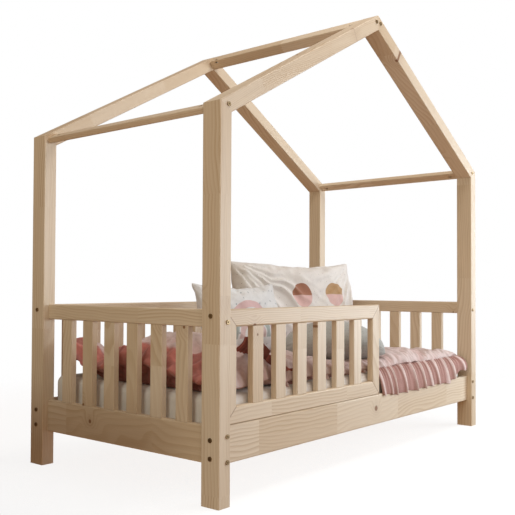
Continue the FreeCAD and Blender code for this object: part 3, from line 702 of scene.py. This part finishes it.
def duvet_top(x, y):
    """Height of the duvet's upper face over the mattress, at distances from its left end and its front."""
    back = ease(y, 0.09, 0.24) if x > 0.33 else ease(y, 0.20, 0.40)
    high = height_at(FRONT_HEIGHTS, x) * (1 - back) + height_at(BACK_HEIGHTS, x) * back
    end = ease(x, 0.34, 0.22)
    high += (height_at(END_HEIGHTS, y) - 0.045 * ease(y, 0.52, 0.64) * ease(x, 0.07, 0.15)) * end
    loose = ease(high, 0.02, 0.09)
    under = ease(x, 0.30, 0.42) * ease(y, 0.16, 0.24)
    puff = rough(x * 7 + 3, y * 7, 1.0) * (0.004 + 0.008 * loose)
    fold = crumples(x, y, 3.0) * (0.014 + 0.016 * loose)
    ripple = math.sin(x * 290 + 5 * rough(x * 14, 2, y * 9))
    gathers = (1 - ease(y, 0.0, 0.07)) * ease(x, 0.45, 0.6) * 0.004 * ripple
    return high + (puff + fold) * (1 - 0.75 * under) + gathers


def duvet_underside(x, y):
    """The folded end lifts off the mattress toward the back."""
    return 0.046 * ease(y, 0.46, 0.58) * ease(x, 0.40, 0.20)


def duvet_row(y, width, length, top_x):
    """One closed loop of places round the duvet, each with a value of painted shade, at a distance from its
    front edge.
    """
    # Third values are painted shade for the cover's colour, 0 darkest: the underside is painted dark, and
    # the top darker between the crests of its crumples.
    row = [(x, duvet_underside(x, y), 0.0) for x in reversed(top_x[::3])]
    low, high = duvet_underside(0, y), duvet_top(0, y)
    for t in np.linspace(0, 1, 18)[1:-1]:
        waist = 0.40 + 0.07 * rough(y * 7, 3, 1)
        upper = math.sin(math.pi * (t - waist) / (1 - waist)) ** 0.7 if t > waist else 0.0
        lower = math.sin(math.pi * t / waist) ** 0.7 if t < waist else 0.0
        bulge = (0.026 * upper + 0.008 * lower - 0.004) * ease(min(y, width - y), 0, 0.05)
        dent = 0.024 * crumples(y * 1.1 + 5, t * high * 1.9, 7.0) - 0.008
        # Painted shade on the folded end: darker below its waist, under the bulge above it, and in its
        # hollows.
        row.append((-bulge - dent * math.sin(math.pi * t), low + (high - low) * t,
                    0.9 * ease(t, waist - 0.03, waist + 0.12) * (0.45 + 18 * dent)))
    row += [(x, duvet_top(x, y), 0.15 + 1.5 * crumples(x, y, 3.0)) for x in top_x]
    end = duvet_top(length, y)
    row += [(length + 0.006 * math.sin(math.pi * t), end * t, 0.3) for t in (0.66, 0.33)]
    return row


def make_duvet():
    """A soft duvet, folded up at one end, with a crumpled cover."""
    low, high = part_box("duvet")
    length, width = high.x - low.x, high.y - low.y
    edges = [0.0, 0.0015, 0.005, 0.010, 0.016, 0.023, 0.031]
    stations = edges + list(np.linspace(0.039, width - 0.039, 92)) + [width - e for e in reversed(edges)]
    top_x = np.concatenate([np.linspace(0.0, 0.40, 72), np.linspace(0.40, length, 150)[1:]])
    rows, folds = [], []
    for y in stations:
        edge = min(y, width - y)
        shaped = []
        for x, z, fold in duvet_row(y, width, length, top_x):
            inside = min(max(x, 0), length)
            tall = duvet_top(inside, y)
            share = min(1.0, edge / (0.018 + (0.80 if y < width / 2 else 0.30) * tall))
            full = math.sqrt(max(0.0, 1 - (1 - share) ** 2))
            middle = duvet_underside(inside, y) + 0.004 + 0.25 * tall
            corner = 0.03 * (1 - full) * max(0.0, 1 - inside / 0.2)
            shaped.append((low.x + x + corner, low.y + y, low.z + middle + (z - middle) * full))
            folds.append(fold)
        rows.append(shaped)
    points, faces = loft(rows)
    piece = new_piece("duvet_quilt", points, faces, "duvet_body", duvet_cotton(low))
    # Painted shade of each point, kept for the cover's colour.
    mark_painted_fold_shade(piece, folds)
    weld(piece)
    spots = vertices_of(piece.data)
    under = [i for i, p in enumerate(spots) if p[2] < low.z + 0.006]
    swell(piece, pressure=0.5, frames=14, cap=0.006, stiffness=14, bending=0.04, growth=0.05, held=under)
    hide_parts("duvet")
    subdivide(piece)


def mark_painted_fold_shade(piece, folds):
    """Keeps the painted shade of each point, from 0 to 1, for the cover's colour: how far it stands out of
    the folds round it, darker where lower.
    """
    kept = piece.data.attributes.new("fold", "FLOAT", "POINT")
    kept.data.foreach_set("value", np.clip(folds, 0.0, 1.0))


def duvet_cotton(corner):
    """Rose cotton whose reverse, a brick red, shows on the folded end, with painted shade in its folds and
    under it.
    """
    settings = scene_settings().bedding

    def two_sides_with_painted_shade(wires, cloth, ground):
        x, y, z = wires.split(wires.add("TexCoord").outputs["Object"])
        ragged = wires.add("TexNoise", {"Vector": wires.join(y, z), "Scale": 16.0, "Detail": 2.0})
        place = wires.plus(x, wires.times(wires.minus(ragged.outputs[0], 0.5), 0.03))
        front = wires.times(wires.step(y, corner.y + 0.24, corner.y + 0.10, 0.0, 0.080),
                            wires.step(y, corner.y + 0.01, corner.y + 0.07))
        back = wires.step(y, corner.y + 0.42, corner.y + 0.52, 0.0, 0.060)
        place = wires.minus(place, wires.plus(front, back))
        wall = wires.step(place, corner.x + 0.030, corner.x + 0.014)
        low = wires.step(z, corner.z + 0.012, corner.z + 0.002)
        near = wires.step(x, corner.x + 0.50, corner.x + 0.30)
        reverse = wires.math("MAXIMUM", wall, wires.times(wires.times(low, near), 0.7))
        # Painted shade: both sides are painted darker where the fold value is low, under the duvet, low on
        # its folded end and between its crumples.
        fold = wires.add("Attribute", attribute_name="fold").outputs["Fac"]
        rose = wires.blend(fold, solid(np.array(settings.rose) * (0.84, 0.66, 0.62)), ground)
        brick = wires.blend(fold, solid(tint(settings.brick, 0.45)), solid(settings.brick))
        return wires.blend(reverse, rose, brick)

    return cotton("Crumpled rose cotton", settings.rose, thread=0.0010, crumple=0.022, bump=0.0014,
                  shade=0.86, print_and_painted_shade=two_sides_with_painted_shade)


def frill(section_at, start, end, pleat, depth, seed):
    """A gathered strip of cloth: section_at gives its section, gathered edge first, at each place."""
    columns = int((end - start) / FRILL_STEP)
    rows, folds = [], []
    phase = 0.0
    for i in range(columns + 1):
        x = start + (end - start) * i / columns
        phase += (end - start) / columns / (pleat * (1 + 0.9 * rough(x * 12, seed, 0)))
        path = section_at(x)
        tall = 0.40 + 1.2 * abs(rough(x * 15, seed + 5, 0))
        row = []
        for j, spot in enumerate(path):
            share = j / (len(path) - 1)
            run = (path[min(j + 1, len(path) - 1)] - path[max(j - 1, 0)]).normalized()
            out = Vector((0, run.z, -run.y))
            turn = 2 * math.pi * phase + 1.9 * share * rough(x * 11, seed + 2, 0)
            crest = max(0.0, math.sin(turn)) ** 1.15
            gather = math.sin(4 * turn + 2 * rough(x * 20, seed, 3)) * ease(share, 0.75, 0.15)
            size = depth * share ** 0.85 * tall
            lift = (1.45 * crest - 0.15 + 0.12 * math.sin(2.7 * turn)) * size + 0.0030 * gather
            side = math.cos(turn) * size * 0.45
            droop = share * share * (0.002 - 0.004 * crest + 0.008 * rough(x * 8, seed + 9, 0))
            point = spot + out * lift
            fan = 0.020 * share * rough(x * 10, seed + 12, 0)
            row.append((x + side + fan, point.y, point.z + droop))
            # Painted light for the colour: high on the crests of the pleats, low in the hollows between
            # them, middling along the gathered edge.
            folds.append(0.62 + 0.3 * gather if share < 0.12
                         else 0.04 + 0.96 * crest ** 2.5 + 0.25 * gather)
        rows.append(row)
    return loft(rows, closed=False), folds


def area_of(points, faces):
    total = 0.0
    for a, b, c, d in faces:
        a, b, c, d = (Vector(points[i]) for i in (a, b, c, d))
        total += ((c - a).cross(d - b)).length / 2
    return total


def painted_crest_and_fold_shade(crest, shaded_valley):
    """Paints light and shade on a frill: one colour on its crests and a darker one in its folds."""
    def both(wires, cloth, ground):
        fold = wires.add("Attribute", attribute_name="fold").outputs["Fac"]
        return wires.blend(fold, solid(shaded_valley), solid(crest))

    return both


def make_frills():
    """The frill along the duvet's edge: over the side rail, inside the guard, and on the folded end."""
    low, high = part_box("duvet_ruffle")
    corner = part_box("mattress")
    edge, base = corner[0].y, corner[1].z
    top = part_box("duvet")[0]
    settings = scene_settings().bedding
    pleat = settings.pleat
    # Painted light and shade: the rose crests are painted paler than the cloth as painted highlight, and
    # the hollows of both frills much darker as painted shade.
    rose_painted_fold_shade = painted_crest_and_fold_shade(tint(settings.rose, 1.14), np.array(settings.rose) * (0.56, 0.34, 0.30))
    brick_painted_fold_shade = painted_crest_and_fold_shade(tint(settings.brick, 0.9), tint(settings.brick, 0.4))
    cover = cotton("Gathered rose cotton", settings.rose, thread=0.0010, depth=0.8, shade=0.92,
                   print_and_painted_shade=rose_painted_fold_shade)
    reverse = cotton("Gathered brick cotton", settings.brick, thread=0.0010, depth=0.8, shade=0.92,
                     print_and_painted_shade=brick_painted_fold_shade)
    # Sections across the bed, from the gathered edge to the free one: distance back and height
    outer = [(0.030, 0.010), (0.018, 0.011), (0.006, 0.008), (-0.002, 0.000), (-0.009, -0.013),
             (-0.015, -0.028), (-0.0195, -0.046), (-0.0225, -0.062), (-0.0235, -0.072), (-0.024, -0.082)]
    corner_end = [(0.030, 0.008), (0.016, 0.009), (0.002, 0.006), (-0.009, 0.002), (-0.018, -0.004),
                  (-0.025, -0.011), (-0.029, -0.020), (-0.031, -0.029), (-0.031, -0.036), (-0.030, -0.043)]
    inner = [(0.050, 0.034), (0.040, 0.031), (0.030, 0.025), (0.022, 0.017), (0.016, 0.008),
             (0.013, -0.001)]
    standing = [(0.044, -0.004), (0.032, 0.001), (0.022, 0.008), (0.014, 0.015), (0.008, 0.023),
                (0.005, 0.031)]
    # Where the folded end's edge runs: distance from the left end and height
    fold_edge = ((0.07, 0.112), (0.15, 0.092), (0.216, 0.034), (0.25, 0.020), (0.33, 0.004))

    def over_rail(x):
        late = ease(high.x + 0.006 - x, 0.18, 0.02)
        return [Vector((0, edge + a[0], base + a[1])).lerp(Vector((0, edge + b[0], base + b[1])), late)
                for a, b in zip(outer, corner_end)]

    def inside_guard(x):
        return [Vector((0, edge + y, base + z)) for y, z in inner]

    def on_fold(x):
        rise = height_at(fold_edge, x - top.x)
        return [Vector((0, top.y + y, top.z + rise + z)) for y, z in standing]

    for name, section_at, start, end, size, depth, seed in (
            ("frill_over_rail", over_rail, low.x - 0.002, high.x + 0.006, pleat, 0.0105, 4.0),
            ("frill_inside_guard", inside_guard, top.x + 0.20, low.x + 0.004, pleat * 0.8, 0.010, 9.0),
            ("frill_on_fold", on_fold, top.x + 0.075, top.x + 0.32, pleat * 0.7, 0.008, 14.0)):
        (points, faces), folds = frill(section_at, start, end, size, depth, seed)
        path = section_at(start)
        piece = new_piece(name, points, faces, "duvet_body",
                          reverse if name == "frill_on_fold" else cover)
        mark_painted_fold_shade(piece, folds)
        flat_width = sum((b - a).length for a, b in zip(path, path[1:]))
        area_of(points, faces) / flat_width
        thick = piece.modifiers.new("Cloth thickness", "SOLIDIFY")
        thick.thickness = 0.0012
        subdivide(piece)
        if name == "frill_over_rail":
            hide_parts("duvet_ruffle")


def sewn_layers(name, width, height, step, seed, material):
    """Two flat layers of cloth joined round their edge, with the cloth's own coordinates."""
    across, up = int(width / step), int(height / step)
    points, faces, index = [], [], {}
    for side in (1, -1):
        for i in range(across + 1):
            for j in range(up + 1):
                rim = i in (0, across) or j in (0, up)
                if rim and side == -1:
                    index[side, i, j] = index[1, i, j]
                    continue
                x, y = (i / across - 0.5) * width, (j / up - 0.5) * height
                index[side, i, j] = len(points)
                apart = side * (0.004 + 0.0012 * rough(x * 40, y * 40, seed + side))
                points.append((x, y, 0.0 if rim else apart))
    for side in (1, -1):
        for i in range(across):
            for j in range(up):
                face = [index[side, i + di, j + dj] for di, dj in ((0, 0), (1, 0), (1, 1), (0, 1))]
                faces.append(tuple(face if side == 1 else reversed(face)))
    piece = smooth_mesh(name, points, faces, material)
    mesh = piece.data
    layer = mesh.uv_layers.new(name="cloth")
    for polygon in mesh.polygons:
        away = 2.0 if polygon.index >= across * up else 0.0
        for corner in polygon.loop_indices:
            x, y, _ = points[mesh.loops[corner].vertex_index]
            layer.data[corner].uv = (x + away, y + away)
    return piece


def drag_folds(piece, width, height, corners, seed):
    """Folds that fan out from the corners of a pillow, and shallow dents between them."""
    shape = vertices_of(piece.data)
    for p in shape:
        side = 1 if p[2] >= 0 else -1
        far_from_edge = ease(min(width / 2 - abs(p[0]), height / 2 - abs(p[1])), 0.004, 0.03)
        move = 0.0035 * rough(p[0] * 6, p[1] * 6, seed + side)
        for sx, sy, size in corners:
            dx, dy = p[0] - sx * width / 2, p[1] - sy * height / 2
            reach = math.hypot(dx, dy)
            turn = math.atan2(dy, dx)
            fan = crease(turn * 5.5 + 0.8 * rough(reach * 5, seed, sx), reach * 1.8, seed + sx + 3 * sy)
            move += size * (max(-0.3, fan) - 0.2) * ease(reach, 0.01, 0.08) * (1 - ease(reach, 0.16, 0.46))
        p[2] += side * move * far_from_edge
    set_vertices(piece.data, shape)


def pull_corners(piece, width, height, reach):
    """Draws the corners of a pillow out into points."""
    shape = vertices_of(piece.data)
    for p in shape:
        share = ease(abs(p[0]), 0.30 * width, 0.48 * width) * ease(abs(p[1]), 0.28 * height, 0.48 * height)
        p[0] += math.copysign(reach * share, p[0])
        p[1] += math.copysign(0.4 * reach * share, p[1])
    set_vertices(piece.data, shape)


def stand(piece, foot, heading, lean):
    """Turns a pillow upright about its lower edge and puts that edge at the foot."""
    lowest = vertices_of(piece.data)[:, 1].min()
    piece.data.transform(Matrix.Translation(foot) @ Matrix.Rotation(heading, 4, "Z")
                         @ Matrix.Rotation(lean, 4, "X") @ Matrix.Translation((0, -lowest, 0)))
    piece.data.update()


def make_pillow(name, node, material, size, foot, heading, pressure, corners, seed, ears):
    """A pillow that stands on its long edge and leans back, with folds from its corners."""
    piece = sewn_layers(name, *size, PILLOW_STEP, seed, material)
    swell(piece, pressure=pressure, frames=36, cap=0.09, stiffness=22, bending=0.12)
    drag_folds(piece, *size, corners, seed)
    pull_corners(piece, *size, ears)
    stand(piece, foot, heading, math.radians(75))
    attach(piece, node + "_body")
    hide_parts(node)
    subdivide(piece)


def make_pillows():
    """The large pillow, turned a little, and the small one in front of it."""
    settings = scene_settings().bedding
    cream = cotton("Cream printed cotton", settings.cream, print_and_painted_shade=print_cream, bump=0.0010, shade=0.94)
    white = cotton("White printed cotton", settings.white, print_and_painted_shade=print_white, bump=0.0010, shade=0.94)
    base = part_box("large_pillow")[0].z + 0.002
    make_pillow("pillow_large", "large_pillow", cream, size=(0.600, 0.354),
                foot=Vector((0.342, 0.148, base)), heading=math.radians(-17), pressure=2.4,
                corners=((-1, 1, 0.034), (1, 1, 0.009), (1, -1, 0.006)), seed=1.0, ears=0.004)
    make_pillow("pillow_small", "small_pillow", white, size=(0.424, 0.256),
                foot=Vector((-0.117, 0.052, base)), heading=0.0, pressure=3.0,
                corners=((-1, 1, 0.008), (1, 1, 0.010)), seed=6.0, ears=0.010)


def make_cushion():
    """An oval cushion, gathered at its two ends, lying on the duvet."""
    low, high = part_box("oval_cushion")
    middle = (low + high) / 2 + Vector((0.005, -0.007, 0))
    half = (0.182, 0.100, 0.070)
    rings, spokes, cloth_radius = 60, 96, 0.085
    rows, flat = [], []
    for i in range(rings + 1):
        turn = math.pi * (i + 0.25) / (rings + 0.5)
        x, wide = -math.cos(turn), math.sin(turn) ** 0.92
        near_end = ease(abs(x), 0.55, 0.93)
        row = []
        for j in range(spokes):
            angle = 2 * math.pi * j / spokes
            fold = crease(math.cos(angle) * 3.2, math.sin(angle) * 3.2, 5.0 + math.copysign(2, x))
            girth = wide * (1 - 0.11 * max(0.0, fold) * near_end)
            row.append((half[0] * x * 0.97, half[1] * girth * math.cos(angle) * 0.95,
                        half[2] * (girth * math.sin(angle) * 0.95 - 0.62 * (1 - wide))))
            flat.append((half[0] * x * 1.3, angle * cloth_radius))
        rows.append(row)
    points, faces = loft(rows)
    faces += [tuple(range(spokes)), tuple(reversed(range(len(points) - spokes, len(points))))]
    settings = scene_settings().bedding
    grey = cotton("Grey dotted cotton", settings.grey, print_and_painted_shade=print_grey, bump=0.0008, shade=0.93)
    piece = smooth_mesh("cushion_oval", points, faces, grey)
    mesh = piece.data
    layer = mesh.uv_layers.new(name="cloth")
    for polygon in mesh.polygons:
        numbers = [mesh.loops[corner].vertex_index for corner in polygon.loop_indices]
        last = max(number % spokes for number in numbers) == spokes - 1
        for corner, number in zip(polygon.loop_indices, numbers):
            around = 2 * math.pi * cloth_radius if last and number % spokes == 0 else 0.0
            layer.data[corner].uv = (flat[number][0], flat[number][1] + around)
    weld(piece, 0.00001)
    swell(piece, pressure=4.0, frames=16, cap=0.006, stiffness=16, bending=0.2)
    shape = vertices_of(mesh)
    for p in shape:
        p += 0.0022 * rough(p[0] * 9, p[1] * 9, p[2] * 9) * np.sign(p) * (0, 1, 1)
        p[2] = max(p[2], -half[2])
    set_vertices(mesh, shape)
    mesh.transform(Matrix.Translation(middle) @ Matrix.Rotation(math.radians(-56), 4, "Z"))
    mesh.update()
    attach(piece, "oval_cushion_body")
    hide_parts("oval_cushion")
    subdivide(piece)


# Operators


def give(node, material):
    """Puts one material on a piece of the frame."""
    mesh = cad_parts[node].data
    mesh.materials.clear()
    mesh.materials.append(material)


def ease_edges(node):
    """Rounds the sharp edges of a wooden piece."""
    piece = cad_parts[node]
    joined = piece.modifiers.new("Joined faces", "WELD")
    joined.merge_threshold = 0.00002
    eased = piece.modifiers.new("Eased edges", "BEVEL")
    eased.width = EASED_EDGE
    eased.segments = 2
    eased.limit_method = "ANGLE"
    eased.angle_limit = math.radians(50)
    eased.harden_normals = True


class TODDLERBED_OT_timber(bpy.types.Operator):
    """Give every wooden piece of the frame its pine finish"""

    bl_idname = "toddler_bed.timber"
    bl_label = "Finish timber"

    def execute(self, context):
        up_left = Vector((math.cos(ROOF_SLOPE), 0, math.sin(ROOF_SLOPE)))
        up_right = Vector((-math.cos(ROOF_SLOPE), 0, math.sin(ROOF_SLOPE)))
        axes = {
            "post": (Z, X, Y),
            "rafter_left": (up_left, up_left.cross(Y), Y),
            "rafter_right": (up_right, up_right.cross(Y), Y),
            "ridge": (Y, X, Z),
            "eave": (Y, X, Z),
            "side": (X, Y, Z),
            "end": (Y, X, Z),
            "side_slat": (Z, Y, X),
            "end_slat": (Z, X, Y),
            "base": (Y, Z, X),
        }
        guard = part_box("guard_front_bottom_rail")[0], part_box("guard_front_top_rail")[1]
        for number, node in enumerate(sorted(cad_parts)):
            kind = timber_kind(node)
            if kind is None:
                continue
            mitred = guard if node.startswith("guard_front") and "_slat" not in node else None
            give(node, pine("Pine " + node.replace("_", " "), *axes[kind], seed=number * 1.37 + 0.5,
                            pitch=SLAT_PITCH.get(node, 100.0), mitred=mitred))
            ease_edges(node)
        return {"FINISHED"}


def timber_kind(node):
    """Which way the grain of a piece of the frame runs, or None if it isn't pine."""
    if node.startswith("post"):
        return "post"
    if node.startswith("rafter"):
        return "rafter_left" if node.endswith("left") else "rafter_right"
    if node == "ridge_beam":
        return "ridge"
    if node.startswith("eave"):
        return "eave"
    if node == "base_slats":
        return "base"
    if "_slat" in node:
        return "end_slat" if ("left_slat" in node or "right_slat" in node) else "side_slat"
    if "stile" in node:
        return "side_slat"
    if node.startswith(("side_rail", "bearer", "guard_front", "guard_rail_back")):
        return "side"
    if node.startswith(("end_board", "guard_rail")):
        return "end"
    return None


class TODDLERBED_OT_fittings(bpy.types.Operator):
    """Finish the bolts, nuts, screws, dowels and webbing"""

    bl_idname = "toddler_bed.fittings"
    bl_label = "Finish fittings"

    def execute(self, context):
        settings = scene_settings().fittings
        brass = metal("Antique brass", settings.brass, 0.40)
        zinc = metal("Zinc plate", settings.zinc, 0.38)
        for node, material in (("frame_bolts", brass), ("roof_bolts", brass), ("barrel_nuts", zinc),
                               ("bearer_screws", zinc)):
            give(node, material)
        give("dowels", pine("Beech dowels", Z, X, Y, seed=77.0))
        tape = cotton("Webbing tape", settings.tape, thread=0.0022, crumple=0.01, depth=0.2)
        give("webbing_front", tape)
        give("webbing_back", tape)
        return {"FINISHED"}


class TODDLERBED_OT_mattress(bpy.types.Operator):
    """Make the mattress in its fitted sheet"""

    bl_idname = "toddler_bed.mattress"
    bl_label = "Make mattress"

    def execute(self, context):
        make_mattress()
        return {"FINISHED"}


class TODDLERBED_OT_duvet(bpy.types.Operator):
    """Make the duvet and its gathered frill"""

    bl_idname = "toddler_bed.duvet"
    bl_label = "Make duvet"

    def execute(self, context):
        make_duvet()
        make_frills()
        return {"FINISHED"}


class TODDLERBED_OT_pillows(bpy.types.Operator):
    """Make the large and the small pillow"""

    bl_idname = "toddler_bed.pillows"
    bl_label = "Make pillows"

    def execute(self, context):
        make_pillows()
        return {"FINISHED"}


class TODDLERBED_OT_cushion(bpy.types.Operator):
    """Make the oval cushion"""

    bl_idname = "toddler_bed.cushion"
    bl_label = "Make cushion"

    def execute(self, context):
        make_cushion()
        return {"FINISHED"}


class TODDLERBED_OT_stage(bpy.types.Operator):
    """Set up the floor, the light and the camera"""

    bl_idname = "toddler_bed.stage"
    bl_label = "Set up stage"

    def execute(self, context):
        make_camera(context.scene)
        make_light(context.scene)
        make_floor()
        return {"FINISHED"}


def make_camera(scene):
    """The camera, placed and turned as the stage settings say, with a small shift of its lens."""
    stage = scene.toddler_bed.stage
    data = bpy.data.cameras.new("Camera")
    data.lens = stage.lens
    data.sensor_width = 36
    data.shift_x = 0.0009
    data.shift_y = 0.0244
    forward = Vector((math.cos(stage.heading) * math.cos(stage.tilt),
                      math.sin(stage.heading) * math.cos(stage.tilt), math.sin(stage.tilt)))
    level = Vector((math.sin(stage.heading), -math.cos(stage.heading), 0))
    upright = level.cross(forward)
    right = level * math.cos(stage.roll) + upright * math.sin(stage.roll)
    up = -level * math.sin(stage.roll) + upright * math.cos(stage.roll)
    camera = bpy.data.objects.new("Camera", data)
    scene.collection.objects.link(camera)
    turn = Matrix((right, up, -forward)).transposed().to_4x4()
    camera.matrix_world = Matrix.Translation(stage.eye) @ turn
    scene.camera = camera


def make_light(scene):
    """A window on the right, softer light from the front, above and the left, and a warm room."""
    for name, place, size, power, colour in (
            ("Window", (2.4, -2.0, 0.8), 1.6, 55, (0.85, 0.94, 1.0)),
            ("Front", (1.2, -3.5, 0.7), 2.5, 35, (0.85, 0.94, 1.0)),
            ("Above", (0.1, -1.0, 3.0), 1.5, 30, (1.0, 0.98, 0.96)),
            ("Fill", (-2.0, -1.9, 0.9), 0.8, 4, (1.0, 0.97, 0.95)),
            ("Side", (-7.0, -1.8, 3.0), 3.5, 98, (0.92, 0.97, 0.89))):
        data = bpy.data.lights.new(name, "AREA")
        data.shape = "DISK"
        data.size = size
        data.energy = power
        data.color = colour
        lamp = bpy.data.objects.new(name, data)
        lamp.location = place
        lamp.rotation_euler = (Vector((0, 0, 0.5)) - Vector(place)).to_track_quat("-Z", "Y").to_euler()
        scene.collection.objects.link(lamp)
    world = bpy.data.worlds.new("Studio")
    world.use_nodes = True
    wires = Wiring(world.node_tree)
    world.node_tree.nodes.clear()
    toward = wires.add("TexCoord").outputs["Generated"]
    upward = wires.split(toward)[2]
    leftward = wires.vector("DOT_PRODUCT", toward, (-0.91, -0.20, 0.36), output="Value")
    downward = wires.times(upward, -1.0)
    below, above, left = (wires.math("MAXIMUM", way, 0.0) for way in (downward, upward, leftward))
    height = wires.step(upward, -0.15, 0.15)
    room = wires.blend(height, (0.105, 0.030, 0.012, 1), (0.140, 0.070, 0.035, 1))
    for amount, glow in ((wires.math("POWER", below, 4.0), (1.0, 0.74, 0.48)),
                         (wires.times(above, above), (0.30, 0.30, 0.31)),
                         (wires.times(left, left), (0.270, 0.235, 0.140))):
        room = wires.blend(1.0, room, wires.blend(amount, (0, 0, 0, 1), solid(glow)), "ADD")
    fill = wires.add("Background", {"Color": room, "Strength": 1.0})
    wall = wires.add("Background", {"Color": solid(scene.toddler_bed.stage.backdrop), "Strength": 1.0})
    mix = wires.add("MixShader")
    wires.put(wires.add("LightPath").outputs["Is Camera Ray"], mix.inputs[0])
    wires.put(fill.outputs[0], mix.inputs[1])
    wires.put(wall.outputs[0], mix.inputs[2])
    wires.put(mix.outputs[0], wires.add("OutputWorld").inputs["Surface"])
    scene.world = world
    scene.view_settings.view_transform = "Standard"


def stage_card(name, points, material):
    """One flat rectangle of the stage."""
    card = smooth_mesh(name, points, [(0, 1, 2, 3)], material)
    return card


def make_floor():
    """A pale floor that fades out round the bed, and a dark card that shades the far foot."""
    material, wires, shader = new_material("Pale floor", Roughness=0.9, Emission_Strength=0.4)
    shader.inputs["Emission Color"].default_value = (1, 1, 1, 1)
    place = wires.add("TexCoord").outputs["Object"]
    far = wires.vector("LENGTH", wires.vector("MULTIPLY", place, (1, 1, 0)), output="Value")
    grain = wires.add("TexNoise", {"Vector": place, "Scale": 60.0, "Detail": 3.0}).outputs[0]
    shade = wires.step(grain, 0.3, 0.7, 0.90, 0.93)
    wires.put(wires.join(shade, shade, shade), shader.inputs["Base Color"])
    near = wires.step(far, 2.6, 1.0, 0.0, 0.25)
    seen = wires.add("LightPath").outputs["Is Camera Ray"]
    wires.put(wires.times(near, seen), shader.inputs["Alpha"])
    size = 9.0
    stage_card("floor", [(-size, -size, 0), (size, -size, 0), (size, size, 0), (-size, size, 0)], material)
    x, front, back, top = -1.12, -0.30, 0.75, 0.34
    black, _, _ = new_material("Black card", Base_Color=(0.02, 0.015, 0.01, 1), Roughness=1.0)
    card = stage_card("shade_card", [(x, front, 0), (x, back, 0), (x, back, top), (x, front, top)], black)
    card.visible_camera = False


class TODDLERBED_PT_panel(bpy.types.Panel):
    """Buttons for each group of pieces"""

    bl_idname = "TODDLERBED_PT_panel"
    bl_label = "Toddler House Bed"
    bl_space_type = "VIEW_3D"
    bl_region_type = "UI"
    bl_category = "Bed"

    def draw(self, context):
        settings = context.scene.toddler_bed
        for title, group in (("Timber", settings.timber), ("Fittings", settings.fittings),
                             ("Bedding", settings.bedding), ("Stage", settings.stage)):
            box = self.layout.box()
            box.label(text=title)
            for name in group.bl_rna.properties.keys():
                if name not in ("rna_type", "name"):
                    box.prop(group, name)
        for operator in OPERATORS:
            self.layout.operator(operator.bl_idname)


OPERATORS = (TODDLERBED_OT_timber, TODDLERBED_OT_fittings, TODDLERBED_OT_mattress, TODDLERBED_OT_duvet,
             TODDLERBED_OT_pillows, TODDLERBED_OT_cushion, TODDLERBED_OT_stage)
CLASSES = (TimberSettings, FittingSettings, BeddingSettings, StageSettings, BedSettings, *OPERATORS,
           TODDLERBED_PT_panel)


def register():
    for cls in CLASSES:
        bpy.utils.register_class(cls)
    bpy.types.Scene.toddler_bed = bpy.props.PointerProperty(
        name="Toddler bed", description="Sizes and colours of the bed", type=BedSettings)


def unregister():
    del bpy.types.Scene.toddler_bed
    for cls in reversed(CLASSES):
        bpy.utils.unregister_class(cls)


def main():
    register()
    bpy.ops.toddler_bed.timber()
    bpy.ops.toddler_bed.fittings()
    bpy.ops.toddler_bed.mattress()
    bpy.ops.toddler_bed.duvet()
    bpy.ops.toddler_bed.pillows()
    bpy.ops.toddler_bed.cushion()
    bpy.ops.toddler_bed.stage()


if __name__ == "__main__":
    main()
